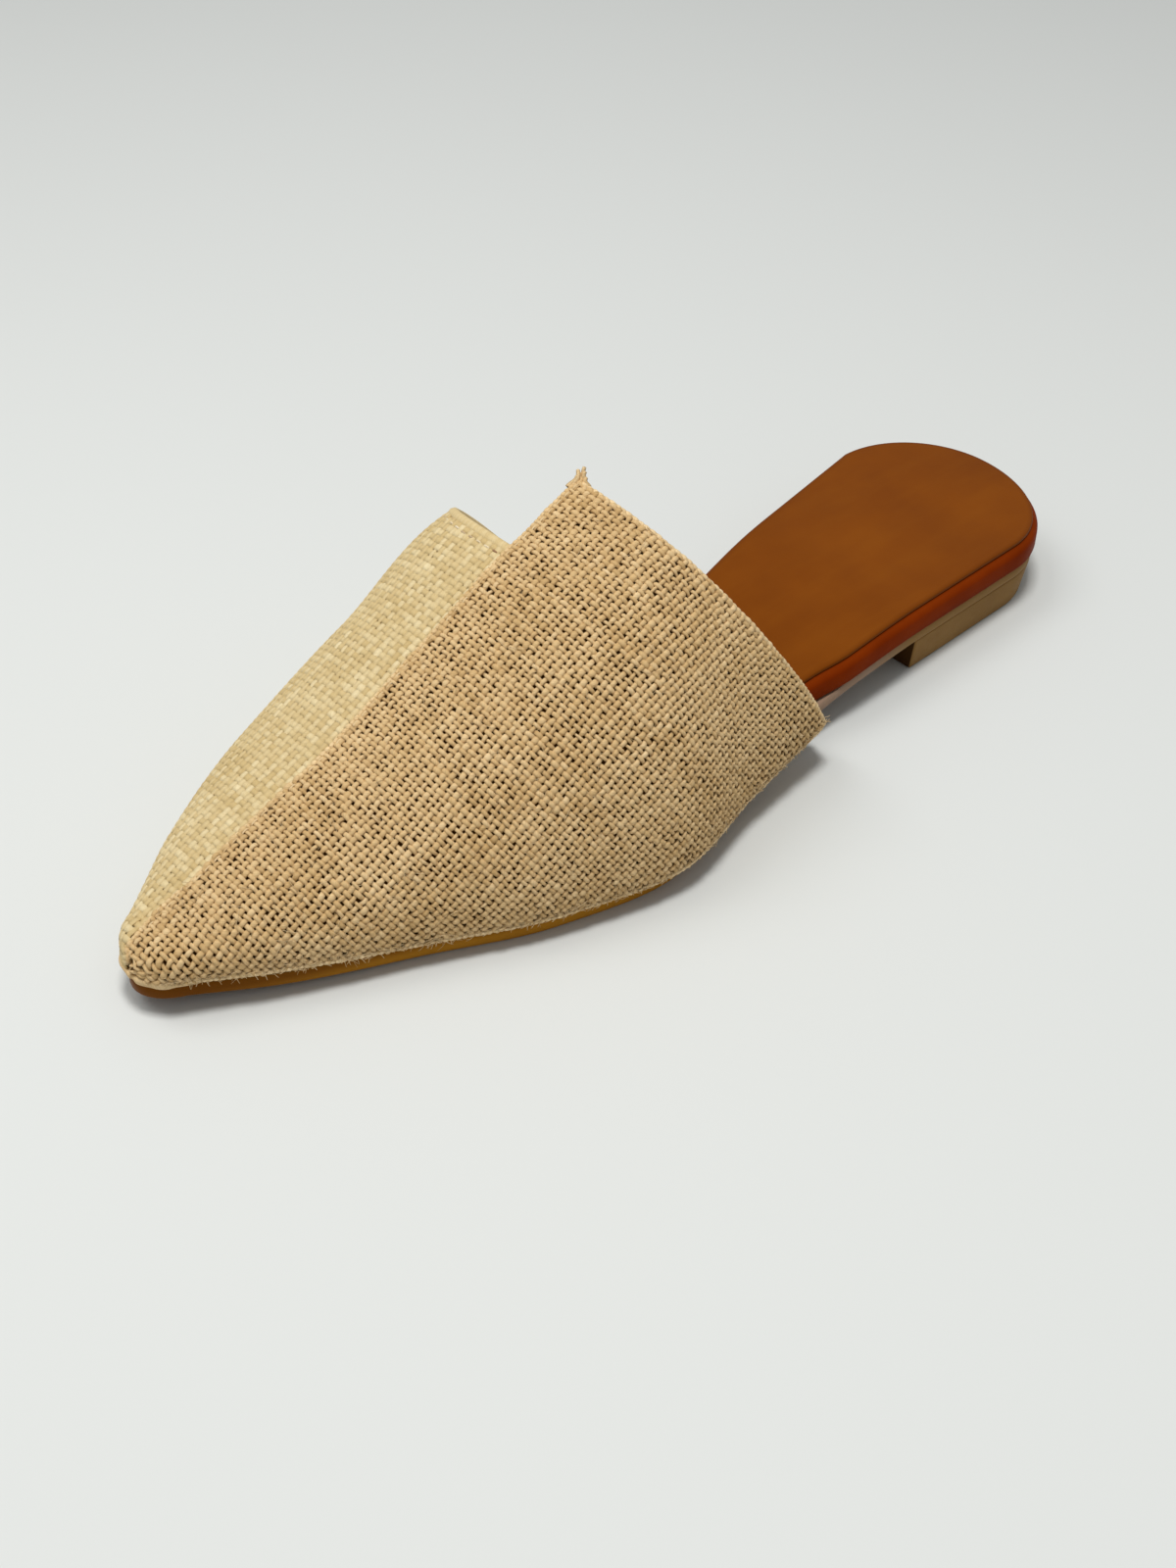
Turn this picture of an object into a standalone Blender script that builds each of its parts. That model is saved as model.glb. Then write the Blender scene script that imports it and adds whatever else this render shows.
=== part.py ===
"""Backless pointed flat for the left foot, built from the pieces its maker would put together.

+X runs from heel to toe, +Y to the outer (lateral) side of the foot and +Z up from the floor.
Sizes and tables are in millimetres, stations are measured from the back of the heel, and both
become metres when a mesh is made.
"""
import bmesh
import bpy
import numpy as np

MM = 0.001
GAP = 0.3

# Driving sizes of the last
HEEL_RUN = 26.0
BREAST = 62.0
TOE_START = 253.0
TOE_TURN = 30.0
TOE_Y = -1.3

# Half widths of the sole's plan on each side of the line from heel centre to toe tip
PLAN_COLUMNS = ("station", "lateral", "medial")
PLAN = (
    (26.0, 30.6, 27.3),
    (71.0, 31.8, 19.0),
    (102.0, 32.7, 13.5),
    (131.0, 36.8, 22.1),
    (157.0, 45.0, 30.7),
    (183.0, 39.5, 34.1),
    (210.0, 27.6, 29.5),
    (236.0, 16.5, 19.4),
    (253.0, 7.0, 9.8),
)

# Side view of the sole: lift of the tread off the floor, then the thickness of tread and footbed
PROFILE_COLUMNS = ("station", "lift", "tread", "bed")
PROFILE = (
    (0.0, 9.0, 2.9, 6.0),
    (62.0, 9.0, 2.9, 6.0),
    (84.0, 7.9, 2.9, 6.0),
    (102.0, 5.6, 3.0, 5.9),
    (131.0, 0.9, 3.6, 5.6),
    (140.0, 0.0, 3.9, 5.4),
    (157.0, 0.0, 4.0, 4.9),
    (190.0, 0.0, 4.0, 4.6),
    (212.0, 0.5, 4.0, 4.6),
    (236.0, 1.8, 4.0, 4.5),
    (262.0, 3.6, 4.0, 4.4),
)

# Sections of the upper: height and side shift of the crest, bulge past the plan on each side,
# and how square each shoulder is (2 is an ellipse)
UPPER_COLUMNS = ("station", "crest", "shift", "lateral", "medial", "outer_square", "inner_square")
UPPER = (
    (92.0, 70.0, -10.1, 4.6, 2.4, 2.14, 2.80),
    (110.0, 69.2, -10.3, 6.0, 4.3, 2.14, 2.80),
    (131.0, 69.1, -10.3, 5.2, 6.4, 2.14, 2.90),
    (157.0, 61.4, -9.2, 2.3, 7.6, 2.13, 2.95),
    (183.0, 47.0, -8.9, 1.1, 4.0, 2.13, 2.55),
    (210.0, 33.1, -7.0, 0.7, 5.0, 2.13, 2.46),
    (236.0, 22.8, -5.6, 0.0, 3.6, 2.13, 2.40),
    (253.0, 15.6, -3.0, 0.3, 0.8, 2.13, 2.30),
)
UPPER_WALL = 1.4
UPPER_TOE = 6.7
WAIST_RISE = 4.6
FEATHER_OUT = 0.2
TUCK_TURN = 25.0

# Collar of each panel: station at the sole, how far it runs forward to the crest, how its run is
# spread over the section (1 is a straight cut, less is a fuller one), and how far its lower corner
# trails back
COLLAR_COLUMNS = ("sole", "run", "spread", "trail")
COLLAR_LATERAL = dict(zip(COLLAR_COLUMNS, (104.5, 33.5, 1.0, 3.0)))
COLLAR_MEDIAL = dict(zip(COLLAR_COLUMNS, (112.5, 45.0, 0.62, 3.0)))
COLLAR_SETBACK = 0.8
SHARED_STATION = 166.0

# Crossover panel on the lateral side, lapping over the medial side of the upper
PANEL_WALL = 1.2
PANEL_HEM_TURN = 17.0
PANEL_COLUMNS = ("station", "lap_turn")
PANEL_LAP = (
    (130.0, 85.8),
    (200.0, 86.2),
    (223.0, 88.4),
    (236.0, 91.5),
    (244.0, 99.5),
    (253.0, 125.0),
)
PANEL_TOE_WRAP = 64.0
BACKING_SHY = 2.5

# Sole pieces
TREAD_INSET = 0.6
TREAD_EDGE = 0.7
BED_INSET = 2.0
BED_INSET_FROM = 86.0
BED_INSET_TO = 101.0
BED_SHOULDER = 2.4
BED_EDGE = 0.5
SOCK_INSET = 2.7
SOCK_THICKNESS = 0.8
SOCK_EDGE = 0.25
HEEL_INSET = 1.2
HEEL_TAPER = 0.9
HEEL_EDGE = 0.5
TOE_LENGTH = 5.8

# Steps of the meshes
HEEL_STEPS = 9
BODY_STEPS = 30
TOE_STEPS = 7
SHOULDER_STEPS = 3
COLLAR_ROWS = 10
FOOT_ROWS = 15
NOSE_TURNS = (40.0, 50.0, 60.0, 70.0, 79.0)
LATERAL_TURNS = 13
MEDIAL_TURNS = 13
TUCK_TURNS = 3
PANEL_TURNS = 17
SMOOTH_ANGLE = 40.0

COLOURS = {
    "outsole": ((0.275, 0.122, 0.014), 0.30),
    "heel_block": ((0.255, 0.155, 0.060), 0.55),
    "footbed": ((0.205, 0.028, 0.002), 0.32),
    "insole": ((0.195, 0.056, 0.006), 0.45),
    "upper": ((0.745, 0.571, 0.275), 0.80),
    "crossover_panel": ((0.539, 0.352, 0.165), 0.90),
}


def column(table, names, name):
    """Return a smooth rule for one column of a table, with no overshoot between its rows."""
    rows = np.array(table)
    x = rows[:, 0]
    y = rows[:, names.index(name)]
    step = np.diff(x)
    rise = np.diff(y) / step
    slope = np.concatenate(([rise[0]], np.zeros(len(x) - 2), [rise[-1]]))
    for i in range(1, len(x) - 1):
        if rise[i - 1] * rise[i] > 0.0:
            before = 2.0 * step[i] + step[i - 1]
            after = step[i] + 2.0 * step[i - 1]
            slope[i] = (before + after) / (before / rise[i - 1] + after / rise[i])

    def rule(station):
        at = np.clip(station, x[0], x[-1])
        i = np.clip(np.searchsorted(x, at, side="right") - 1, 0, len(step) - 1)
        u = (at - x[i]) / step[i]
        start = (1.0 + 2.0 * u) * (1.0 - u) ** 2 * y[i] + u * (1.0 - u) ** 2 * step[i] * slope[i]
        end = u * u * (3.0 - 2.0 * u) * y[i + 1] - u * u * (1.0 - u) * step[i] * slope[i + 1]
        return start + end

    return rule


PLAN_RULE = {name: column(PLAN, PLAN_COLUMNS, name) for name in PLAN_COLUMNS[1:]}
PROFILE_RULE = {name: column(PROFILE, PROFILE_COLUMNS, name) for name in PROFILE_COLUMNS[1:]}
UPPER_RULE = {name: column(UPPER, UPPER_COLUMNS, name) for name in UPPER_COLUMNS[1:]}
LAP_RULE = column(PANEL_LAP, PANEL_COLUMNS, "lap_turn")


def tread_bottom(station):
    """Height of the tread's underside."""
    return PROFILE_RULE["lift"](station)


def tread_top(station):
    """Height of the tread's upper face."""
    return tread_bottom(station) + PROFILE_RULE["tread"](station)


def bed_bottom(station):
    """Height of the footbed's underside, which is also the feather line of the upper."""
    return tread_top(station) + GAP


def bed_top(station):
    """Height of the footbed's upper face."""
    return bed_bottom(station) + PROFILE_RULE["bed"](station)


def toe_reach(angle):
    """How far along the toe an angle of its rounding lies: 0 where it starts, 1 at the tip."""
    start = np.sin(np.radians(TOE_TURN))
    return (np.sin(angle) - start) / (1.0 - start)


def toe_fullness(angle):
    """What is left of the section at an angle of the toe's rounding: 1 where it starts, 0 at the tip."""
    return np.cos(angle) / np.cos(np.radians(TOE_TURN))


def plan_loop(end=None):
    """Plan of the sole as a closed loop: out along the lateral side and back along the medial side.

    With an end station the loop stops there with a straight edge across the foot.
    """
    heel = np.radians(np.linspace(0.0, 90.0, HEEL_STEPS + 1))
    heel_x = HEEL_RUN * (1.0 - np.cos(heel))
    if end is None:
        body_x = np.linspace(HEEL_RUN, TOE_START, BODY_STEPS + 1)[1:]
        toe = np.radians(np.linspace(TOE_TURN, 90.0, TOE_STEPS + 1))[1:]
    else:
        body_x = np.linspace(HEEL_RUN, end, HEEL_STEPS)[1:]
        toe = np.zeros(0)
    toe_x = TOE_START + TOE_LENGTH * toe_reach(toe)
    sides = []
    for name, sign in (("lateral", 1.0), ("medial", -1.0)):
        rule = PLAN_RULE[name]
        at_toe = sign * rule(TOE_START) - TOE_Y
        heel_y = sign * rule(HEEL_RUN) * np.sin(heel)
        toe_y = TOE_Y + at_toe * toe_fullness(toe)
        x = np.concatenate((heel_x, body_x, toe_x))
        y = np.concatenate((heel_y, sign * rule(body_x), toe_y))
        sides.append(np.stack((x, y), axis=1))
    lateral, medial = sides
    stop = -1 if end is None else len(medial)
    return np.concatenate((lateral, medial[1:stop][::-1])), len(lateral)


def inset_loop(loop, distance, end=None):
    """Move a clockwise loop inwards along its normals; points on a straight end keep their station."""
    tangent = np.roll(loop, -1, axis=0) - np.roll(loop, 1, axis=0)
    if end is not None:
        tangent[np.isclose(loop[:, 0], end)] = (1.0, 0.0)
        tangent[np.isclose(loop[:, 0], end) & (loop[:, 1] < 0.0)] = (-1.0, 0.0)
    normal = np.stack((tangent[:, 1], -tangent[:, 0]), axis=1)
    normal /= np.linalg.norm(normal, axis=1)[:, None]
    return loop + normal * np.broadcast_to(distance, len(loop))[:, None]


def new_object(name, vertices, faces, collection):
    """Make one closed mesh object from points in millimetres."""
    mesh = bpy.data.meshes.new(name)
    mesh.from_pydata((np.asarray(vertices) * MM).tolist(), [], faces)
    shell = bmesh.new()
    shell.from_mesh(mesh)
    bmesh.ops.recalc_face_normals(shell, faces=shell.faces)
    shell.to_mesh(mesh)
    shell.free()
    return finish_object(name, mesh, collection)


def finish_object(name, mesh, collection):
    """Link a mesh as a named piece with its own material and smooth shading."""
    mesh.shade_smooth()
    mesh.set_sharp_from_angle(angle=np.radians(SMOOTH_ANGLE))
    colour, roughness = COLOURS[name]
    material = bpy.data.materials.new(name)
    material.use_nodes = True
    shader = material.node_tree.nodes["Principled BSDF"]
    shader.inputs["Base Color"].default_value = (*colour, 1.0)
    shader.inputs["Roughness"].default_value = roughness
    shader.inputs["Metallic"].default_value = 0.0
    mesh.materials.append(material)
    piece = bpy.data.objects.new(name, mesh)
    collection.objects.link(piece)
    return piece


def slab(name, levels, half, collection):
    """Loft a closed slab through level loops, closing its two faces with rungs across the foot."""
    count = len(levels[0])
    faces = []
    for k in range(len(levels) - 1):
        for i in range(count):
            j = (i + 1) % count
            faces.append((k * count + i, k * count + j, (k + 1) * count + j, (k + 1) * count + i))
    lateral = list(range(half))
    medial = [0] + list(range(count - 1, half - 1, -1))
    if len(medial) < half:
        medial.append(half - 1)
    for start in (0, (len(levels) - 1) * count):
        for i in range(half - 1):
            rung = (lateral[i], lateral[i + 1], medial[i + 1], medial[i])
            faces.append(tuple(start + v for v in dict.fromkeys(rung)))
    return new_object(name, np.concatenate(levels), faces, collection)


def level(loop, height):
    """Lift a plan loop to a height, given as a number or as a rule of the station."""
    z = height(loop[:, 0]) if callable(height) else np.full(len(loop), height)
    return np.column_stack((loop, z))


def shoulder_levels(loop, inset, radius, top):
    """Level loops that round the upper edge of a slab."""
    levels = []
    for turn in np.radians(np.linspace(0.0, 90.0, SHOULDER_STEPS + 1)):
        ring = inset_loop(loop, inset + radius * (1.0 - np.cos(turn)))
        drop = radius * (1.0 - np.sin(turn))
        levels.append(level(ring, top) - (0.0, 0.0, drop))
    return levels


def make_outsole(collection):
    """Rubber sole with its waist lifted to the heel and its toe sprung off the floor."""
    loop, half = plan_loop()
    levels = [level(inset_loop(loop, TREAD_INSET + TREAD_EDGE), tread_bottom)]
    levels.append(level(inset_loop(loop, TREAD_INSET), tread_bottom) + (0.0, 0.0, TREAD_EDGE))
    levels.append(level(inset_loop(loop, TREAD_INSET), tread_top))
    return slab("outsole", levels, half, collection)


def make_heel_block(collection):
    """Low heel under the back of the sole, tapering a little to the floor."""
    loop, half = plan_loop(BREAST)
    top = PROFILE_RULE["lift"](0.0) - GAP
    taper = HEEL_INSET + HEEL_TAPER
    levels = [level(inset_loop(loop, taper + HEEL_EDGE, BREAST), 0.0)]
    levels.append(level(inset_loop(loop, taper, BREAST), HEEL_EDGE))
    levels.append(level(inset_loop(loop, HEEL_INSET, BREAST), top))
    return slab("heel_block", levels, half, collection)


def bed_inset(loop):
    """Inset of the footbed from the plan: none at the heel, clear of the upper inside the vamp."""
    u = np.clip((loop[:, 0] - BED_INSET_FROM) / (BED_INSET_TO - BED_INSET_FROM), 0.0, 1.0)
    return BED_INSET * u * u * (3.0 - 2.0 * u)


def make_footbed(collection):
    """Wrapped footbed with a rounded upper edge."""
    loop, half = plan_loop()
    inset = bed_inset(loop)
    levels = [level(inset_loop(loop, inset + BED_EDGE), bed_bottom)]
    levels.append(level(inset_loop(loop, inset), bed_bottom) + (0.0, 0.0, BED_EDGE))
    levels.extend(shoulder_levels(loop, inset, BED_SHOULDER, bed_top))
    return slab("footbed", levels, half, collection)


def make_insole(collection):
    """Thin sock laid on the footbed inside its rounded edge."""
    loop, half = plan_loop()
    inset = bed_inset(loop) + SOCK_INSET
    under = GAP
    over = GAP + SOCK_THICKNESS
    levels = [level(inset_loop(loop, inset), bed_top) + (0.0, 0.0, under)]
    levels.append(level(inset_loop(loop, inset), bed_top) + (0.0, 0.0, over - SOCK_EDGE))
    levels.append(level(inset_loop(loop, inset + SOCK_EDGE), bed_top) + (0.0, 0.0, over))
    return slab("insole", levels, half, collection)


def collar_station(turn, collar):
    """Station of a collar at a turn of the section, level with the sole, at the crest or between."""
    height = np.maximum(np.sin(np.radians(turn)), 0.0) ** collar["spread"]
    below = np.clip(np.maximum(-turn, turn - 180.0) / TUCK_TURN, 0.0, 1.0)
    return collar["sole"] + collar["run"] * height - collar["trail"] * below


def vamp(turn, station, nose):
    """Points on the outside of the upper.

    The turn goes from the lateral feather line (below 0 degrees) over the crest (90) to the medial
    feather line (past 180). The nose angle rounds the section at the toe's start down to the tip.
    """
    turn, station, nose = np.broadcast_arrays(turn, station, np.radians(nose))
    across = np.cos(np.radians(turn))
    height = np.maximum(np.sin(np.radians(turn)), 0.0)
    tuck = np.clip(np.maximum(-turn, turn - 180.0) / TUCK_TURN, 0.0, 1.0)
    outer = across > 0.0
    side = np.where(outer, 1.0, -1.0)
    square = np.where(outer, UPPER_RULE["outer_square"](station), UPPER_RULE["inner_square"](station))
    bulge = np.where(outer, UPPER_RULE["lateral"](station), UPPER_RULE["medial"](station))
    plan = np.where(outer, PLAN_RULE["lateral"](station), PLAN_RULE["medial"](station))
    shift = UPPER_RULE["shift"](station)
    reach = plan + bulge - side * shift
    spread = np.where(tuck > 0.0, 1.0, np.abs(across) ** (2.0 / square))
    drawn_in = (bulge - FEATHER_OUT) * tuck * tuck
    y = shift + side * (reach * spread - drawn_in)
    x = station + (UPPER_TOE - (UPPER_TOE - TOE_LENGTH) * tuck * tuck) * toe_reach(nose)
    widest = bed_bottom(station) + WAIST_RISE
    arch = (UPPER_RULE["crest"](station) - widest) * height ** (2.0 / square)
    z = bed_bottom(x) + WAIST_RISE * (1.0 - tuck) + arch * toe_fullness(nose)
    return np.stack((x, TOE_Y + (y - TOE_Y) * toe_fullness(nose), z), axis=-1)


def row_stations(turn, collar):
    """Stations and nose angles of the rows along one line of the upper, collar to toe."""
    start = collar_station(turn, collar)
    back = np.linspace(start, SHARED_STATION, COLLAR_ROWS + 1)[:-1]
    front = np.linspace(SHARED_STATION, TOE_START, FOOT_ROWS + 1)
    stations = np.concatenate((back, front, np.full(len(NOSE_TURNS), TOE_START)))
    noses = np.concatenate((np.full(COLLAR_ROWS + FOOT_ROWS + 1, TOE_TURN), NOSE_TURNS))
    return stations, noses


def lifted(points, distance):
    """Move a grid of surface points outwards along its normals."""
    along = np.gradient(points, axis=0)
    around = np.gradient(points, axis=1)
    normal = np.cross(around, along)
    normal /= np.linalg.norm(normal, axis=-1)[..., None]
    return points + normal * distance


def shell_object(name, points, wall, side, collection):
    """Lay a grid on surface points, close it at the toe and give it a wall with Solidify."""
    rows, turns = points.shape[:2]
    shell = bmesh.new()
    bmesh.ops.create_grid(shell, x_segments=turns - 1, y_segments=rows - 1, size=0.5)
    toe = []
    for vertex in shell.verts:
        turn = round((vertex.co.x + 0.5) * (turns - 1))
        row = round((vertex.co.y + 0.5) * (rows - 1))
        vertex.co = points[row, turn] * MM
        if row == rows - 1:
            toe.append((turn, vertex))
    ring = [vertex for turn, vertex in sorted(toe, key=lambda item: item[0])]
    shell.faces.new(ring)
    bmesh.ops.recalc_face_normals(shell, faces=shell.faces)
    crest = max(shell.faces, key=lambda face: face.calc_center_median().z)
    if crest.normal.z < 0.0:
        bmesh.ops.reverse_faces(shell, faces=shell.faces)
    mesh = bpy.data.meshes.new(name)
    shell.to_mesh(mesh)
    shell.free()
    piece = finish_object(name, mesh, collection)
    solidify = piece.modifiers.new("wall", "SOLIDIFY")
    solidify.thickness = wall * MM
    solidify.offset = side
    solidify.use_even_offset = True
    solidify.use_quality_normals = True
    return piece


def make_upper(collection):
    """Hollow upper, open at the collar and underneath, with its lateral corner standing further back."""
    lap = PANEL_LAP[0][1]
    lateral_low = np.linspace(-TUCK_TURN, 0.0, TUCK_TURNS + 1)[:-1]
    lateral = np.linspace(0.0, lap - BACKING_SHY, LATERAL_TURNS + 1)
    medial = np.linspace(lap + BACKING_SHY, 180.0, MEDIAL_TURNS + 1)
    medial_low = np.linspace(180.0, 180.0 + TUCK_TURN, TUCK_TURNS + 1)[1:]
    columns = []
    for turn in np.concatenate((lateral_low, lateral, medial, medial_low)):
        collar = dict(COLLAR_LATERAL if turn < lap else COLLAR_MEDIAL)
        if turn < lap:
            collar["sole"] += COLLAR_SETBACK
        stations, noses = row_stations(turn, collar)
        columns.append(vamp(turn, stations, noses))
    return shell_object("upper", np.stack(columns, axis=1), UPPER_WALL, -1.0, collection)


def make_crossover_panel(collection):
    """Woven panel over the lateral side, lapping the crest and wrapping the toe."""
    rows = COLLAR_ROWS + FOOT_ROWS + 1 + len(NOSE_TURNS)
    across = np.linspace(0.0, 1.0, PANEL_TURNS + 1)
    first_lap = PANEL_LAP[0][1]
    last_lap = 180.0 + PANEL_HEM_TURN
    line = np.linspace(SHARED_STATION, TOE_START, FOOT_ROWS + 1)
    wrap = np.clip((np.array(NOSE_TURNS) - TOE_TURN) / (PANEL_TOE_WRAP - TOE_TURN), 0.0, 1.0)
    at_toe = LAP_RULE(TOE_START)
    laps = np.concatenate((
        np.full(COLLAR_ROWS, first_lap),
        LAP_RULE(line),
        at_toe + (last_lap - at_toe) * wrap,
    ))
    points = np.zeros((rows, len(across), 3))
    for row in range(rows):
        turns = -PANEL_HEM_TURN + across * (laps[row] + PANEL_HEM_TURN)
        for i, turn in enumerate(turns):
            stations, noses = row_stations(turn, COLLAR_LATERAL)
            points[row, i] = vamp(turn, stations[row], noses[row])
    return shell_object("crossover_panel", lifted(points, GAP), PANEL_WALL, 1.0, collection)


def stand_on_origin(pieces, collection):
    """Parent the pieces to an empty that puts the middle of the shoe's footprint on the origin."""
    frame = bpy.data.objects.new("shoe_frame", None)
    collection.objects.link(frame)
    bpy.context.view_layer.update()
    graph = bpy.context.evaluated_depsgraph_get()
    corners = np.concatenate([np.array(piece.evaluated_get(graph).bound_box) for piece in pieces])
    middle = (corners.min(axis=0) + corners.max(axis=0)) / 2.0
    frame.location = (-middle[0], -middle[1], 0.0)
    for piece in pieces:
        piece.parent = frame


def main():
    """Clear the scene and build the shoe."""
    for item in list(bpy.data.objects):
        bpy.data.objects.remove(item, do_unlink=True)
    collection = bpy.data.collections.new("flat_mule")
    bpy.context.scene.collection.children.link(collection)
    pieces = [
        make_outsole(collection),
        make_heel_block(collection),
        make_footbed(collection),
        make_insole(collection),
        make_upper(collection),
        make_crossover_panel(collection),
    ]
    stand_on_origin(pieces, collection)


main()
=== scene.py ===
import math

import bpy
import numpy as np
from mathutils import Matrix, Vector


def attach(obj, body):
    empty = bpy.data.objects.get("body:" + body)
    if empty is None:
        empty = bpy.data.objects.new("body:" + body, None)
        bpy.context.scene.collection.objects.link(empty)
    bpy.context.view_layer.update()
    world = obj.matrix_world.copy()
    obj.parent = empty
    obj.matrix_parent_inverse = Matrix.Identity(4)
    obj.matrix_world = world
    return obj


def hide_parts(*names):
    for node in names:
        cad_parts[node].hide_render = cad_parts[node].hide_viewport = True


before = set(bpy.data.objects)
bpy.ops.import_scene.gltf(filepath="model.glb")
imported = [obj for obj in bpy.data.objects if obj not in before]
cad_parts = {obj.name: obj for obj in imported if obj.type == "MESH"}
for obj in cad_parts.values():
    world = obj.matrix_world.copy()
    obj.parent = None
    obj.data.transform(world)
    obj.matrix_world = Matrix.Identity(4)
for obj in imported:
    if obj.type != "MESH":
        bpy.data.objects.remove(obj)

bl_info = {
    "name": "Flat mule shoe",
    "version": (1, 0, 0),
    "blender": (4, 5, 0),
    "location": "3D View > Sidebar > Mule",
    "description": "Dresses the solids of a woven backless flat with its visible pieces, floor, light and camera",
    "category": "Object",
}

MM = 0.001
BODY = "root"

# The last that every piece is laid on, in millimetres; stations run from the back of the heel to the toe
GAP = 0.3
HEEL_RUN = 26.0
BREAST = 62.0
TOE_START = 253.0
TOE_TURN = 30.0
TOE_Y = -1.3
TOE_LENGTH = 5.8
UPPER_TOE = 5.6
UPPER_TOE_LOW = 6.2
FEATHER_TOE = 7.4
SOLE_TOE = 7.6
WAIST_RISE = 4.6
FEATHER_OUT = 0.2
TUCK_TURN = 25.0
TOE_SPAN = 11.0
SHARED_STATION = 166.0
PLAN_COLUMNS = ("station", "lateral", "medial")
PLAN = (
    (26.0, 30.6, 27.3),
    (71.0, 31.8, 19.0),
    (102.0, 32.7, 13.5),
    (131.0, 36.8, 22.1),
    (157.0, 45.0, 30.7),
    (183.0, 39.5, 34.1),
    (210.0, 27.6, 29.5),
    (236.0, 16.5, 19.4),
    (253.0, 7.0, 9.8),
)
PROFILE_COLUMNS = ("station", "lift", "tread", "bed")
PROFILE = (
    (0.0, 9.0, 2.9, 6.0),
    (62.0, 9.0, 2.9, 6.0),
    (84.0, 7.9, 2.9, 6.0),
    (102.0, 5.6, 3.0, 5.9),
    (131.0, 0.9, 3.6, 5.6),
    (140.0, 0.0, 3.9, 5.4),
    (157.0, 0.0, 4.0, 4.9),
    (190.0, 0.0, 4.0, 4.6),
    (212.0, 0.5, 4.0, 4.6),
    (236.0, 1.8, 4.0, 4.5),
    (262.0, 3.6, 4.0, 4.4),
)
UPPER_COLUMNS = ("station", "crest", "shift", "lateral", "medial", "outer_square", "inner_square")
UPPER = (
    (92.0, 70.0, -10.1, 4.6, 2.4, 2.14, 2.80),
    (110.0, 69.2, -10.3, 6.0, 4.3, 2.14, 2.80),
    (131.0, 69.1, -10.3, 5.2, 6.4, 2.14, 2.90),
    (157.0, 61.4, -9.2, 2.3, 7.6, 2.13, 2.95),
    (183.0, 47.0, -8.9, 1.1, 4.0, 2.13, 2.55),
    (210.0, 33.1, -7.0, 0.7, 5.0, 2.13, 2.46),
    (236.0, 22.8, -5.6, 0.0, 3.6, 2.13, 2.40),
    (253.0, 15.6, -3.0, 0.3, 0.8, 2.13, 2.30),
)
COLLAR_COLUMNS = ("sole", "run", "spread", "trail")
COLLAR_LATERAL = dict(zip(COLLAR_COLUMNS, (104.5, 33.5, 1.0, 3.0)))
COLLAR_MEDIAL = dict(zip(COLLAR_COLUMNS, (112.5, 45.0, 0.62, 3.0)))
LAP_COLUMNS = ("station", "lap_turn")
LAP = (
    (130.0, 85.8),
    (200.0, 86.2),
    (223.0, 87.2),
    (236.0, 87.4),
    (242.0, 88.2),
    (248.5, 93.5),
    (253.0, 99.0),
)
LAP_LINE = 86.0
TUFT = (
    (-1.9, -0.8, 2.4, 0.7), (-1.1, -0.6, 3.7, 0.8), (-0.2, 0.2, 3.2, 0.6),
    (0.4, 0.7, 4.3, 0.85), (1.2, 0.8, 3.3, 0.75), (1.8, 1.1, 2.0, 0.65),
)
SHELL_STEP = 84.8
NET_STATION = 186.0
NET_BACK = 64.0
NET_AHEAD = 286.0
NET_END = TOE_START + 0.8 * TOE_SPAN
CLOTH_END = TOE_START + 10.6
SHEAR = 0.36
STIFF = 1.0
LOOSE = (0.15, 0.42)
TOE_WRAP = 88.0
HEM_TURN = 17.0
HEM_DROP = 7.0
UPPER_WALL = 1.4
COLLAR_SETBACK = 0.8
BED_INSET = 2.0
BED_INSET_FROM = 86.0
BED_INSET_TO = 101.0


def column(table, names, name):
    """Return a smooth rule for one column of a table, with no overshoot between its rows."""
    rows = np.array(table)
    x = rows[:, 0]
    y = rows[:, names.index(name)]
    step = np.diff(x)
    rise = np.diff(y) / step
    slope = np.concatenate(([rise[0]], np.zeros(len(x) - 2), [rise[-1]]))
    for i in range(1, len(x) - 1):
        if rise[i - 1] * rise[i] > 0.0:
            before = 2.0 * step[i] + step[i - 1]
            after = step[i] + 2.0 * step[i - 1]
            slope[i] = (before + after) / (before / rise[i - 1] + after / rise[i])

    def rule(station):
        at = np.clip(station, x[0], x[-1])
        i = np.clip(np.searchsorted(x, at, side="right") - 1, 0, len(step) - 1)
        u = (at - x[i]) / step[i]
        start = (1.0 + 2.0 * u) * (1.0 - u) ** 2 * y[i] + u * (1.0 - u) ** 2 * step[i] * slope[i]
        end = u * u * (3.0 - 2.0 * u) * y[i + 1] - u * u * (1.0 - u) * step[i] * slope[i + 1]
        return start + end

    return rule


PLAN_RULE = {name: column(PLAN, PLAN_COLUMNS, name) for name in PLAN_COLUMNS[1:]}
PROFILE_RULE = {name: column(PROFILE, PROFILE_COLUMNS, name) for name in PROFILE_COLUMNS[1:]}
UPPER_RULE = {name: column(UPPER, UPPER_COLUMNS, name) for name in UPPER_COLUMNS[1:]}
LAP_RULE = column(LAP, LAP_COLUMNS, "lap_turn")


def ramp(share):
    """A smooth step from 0 to 1."""
    share = np.clip(share, 0.0, 1.0)
    return share * share * (3.0 - 2.0 * share)


def tread_bottom(station):
    """Height of the tread's underside."""
    return PROFILE_RULE["lift"](station)


def tread_top(station):
    """Height of the tread's upper face."""
    return tread_bottom(station) + PROFILE_RULE["tread"](station)


def bed_bottom(station):
    """Height of the footbed's underside, which is also the feather line of the upper."""
    return tread_top(station) + GAP


def bed_top(station):
    """Height of the footbed's upper face."""
    return bed_bottom(station) + PROFILE_RULE["bed"](station)


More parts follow.
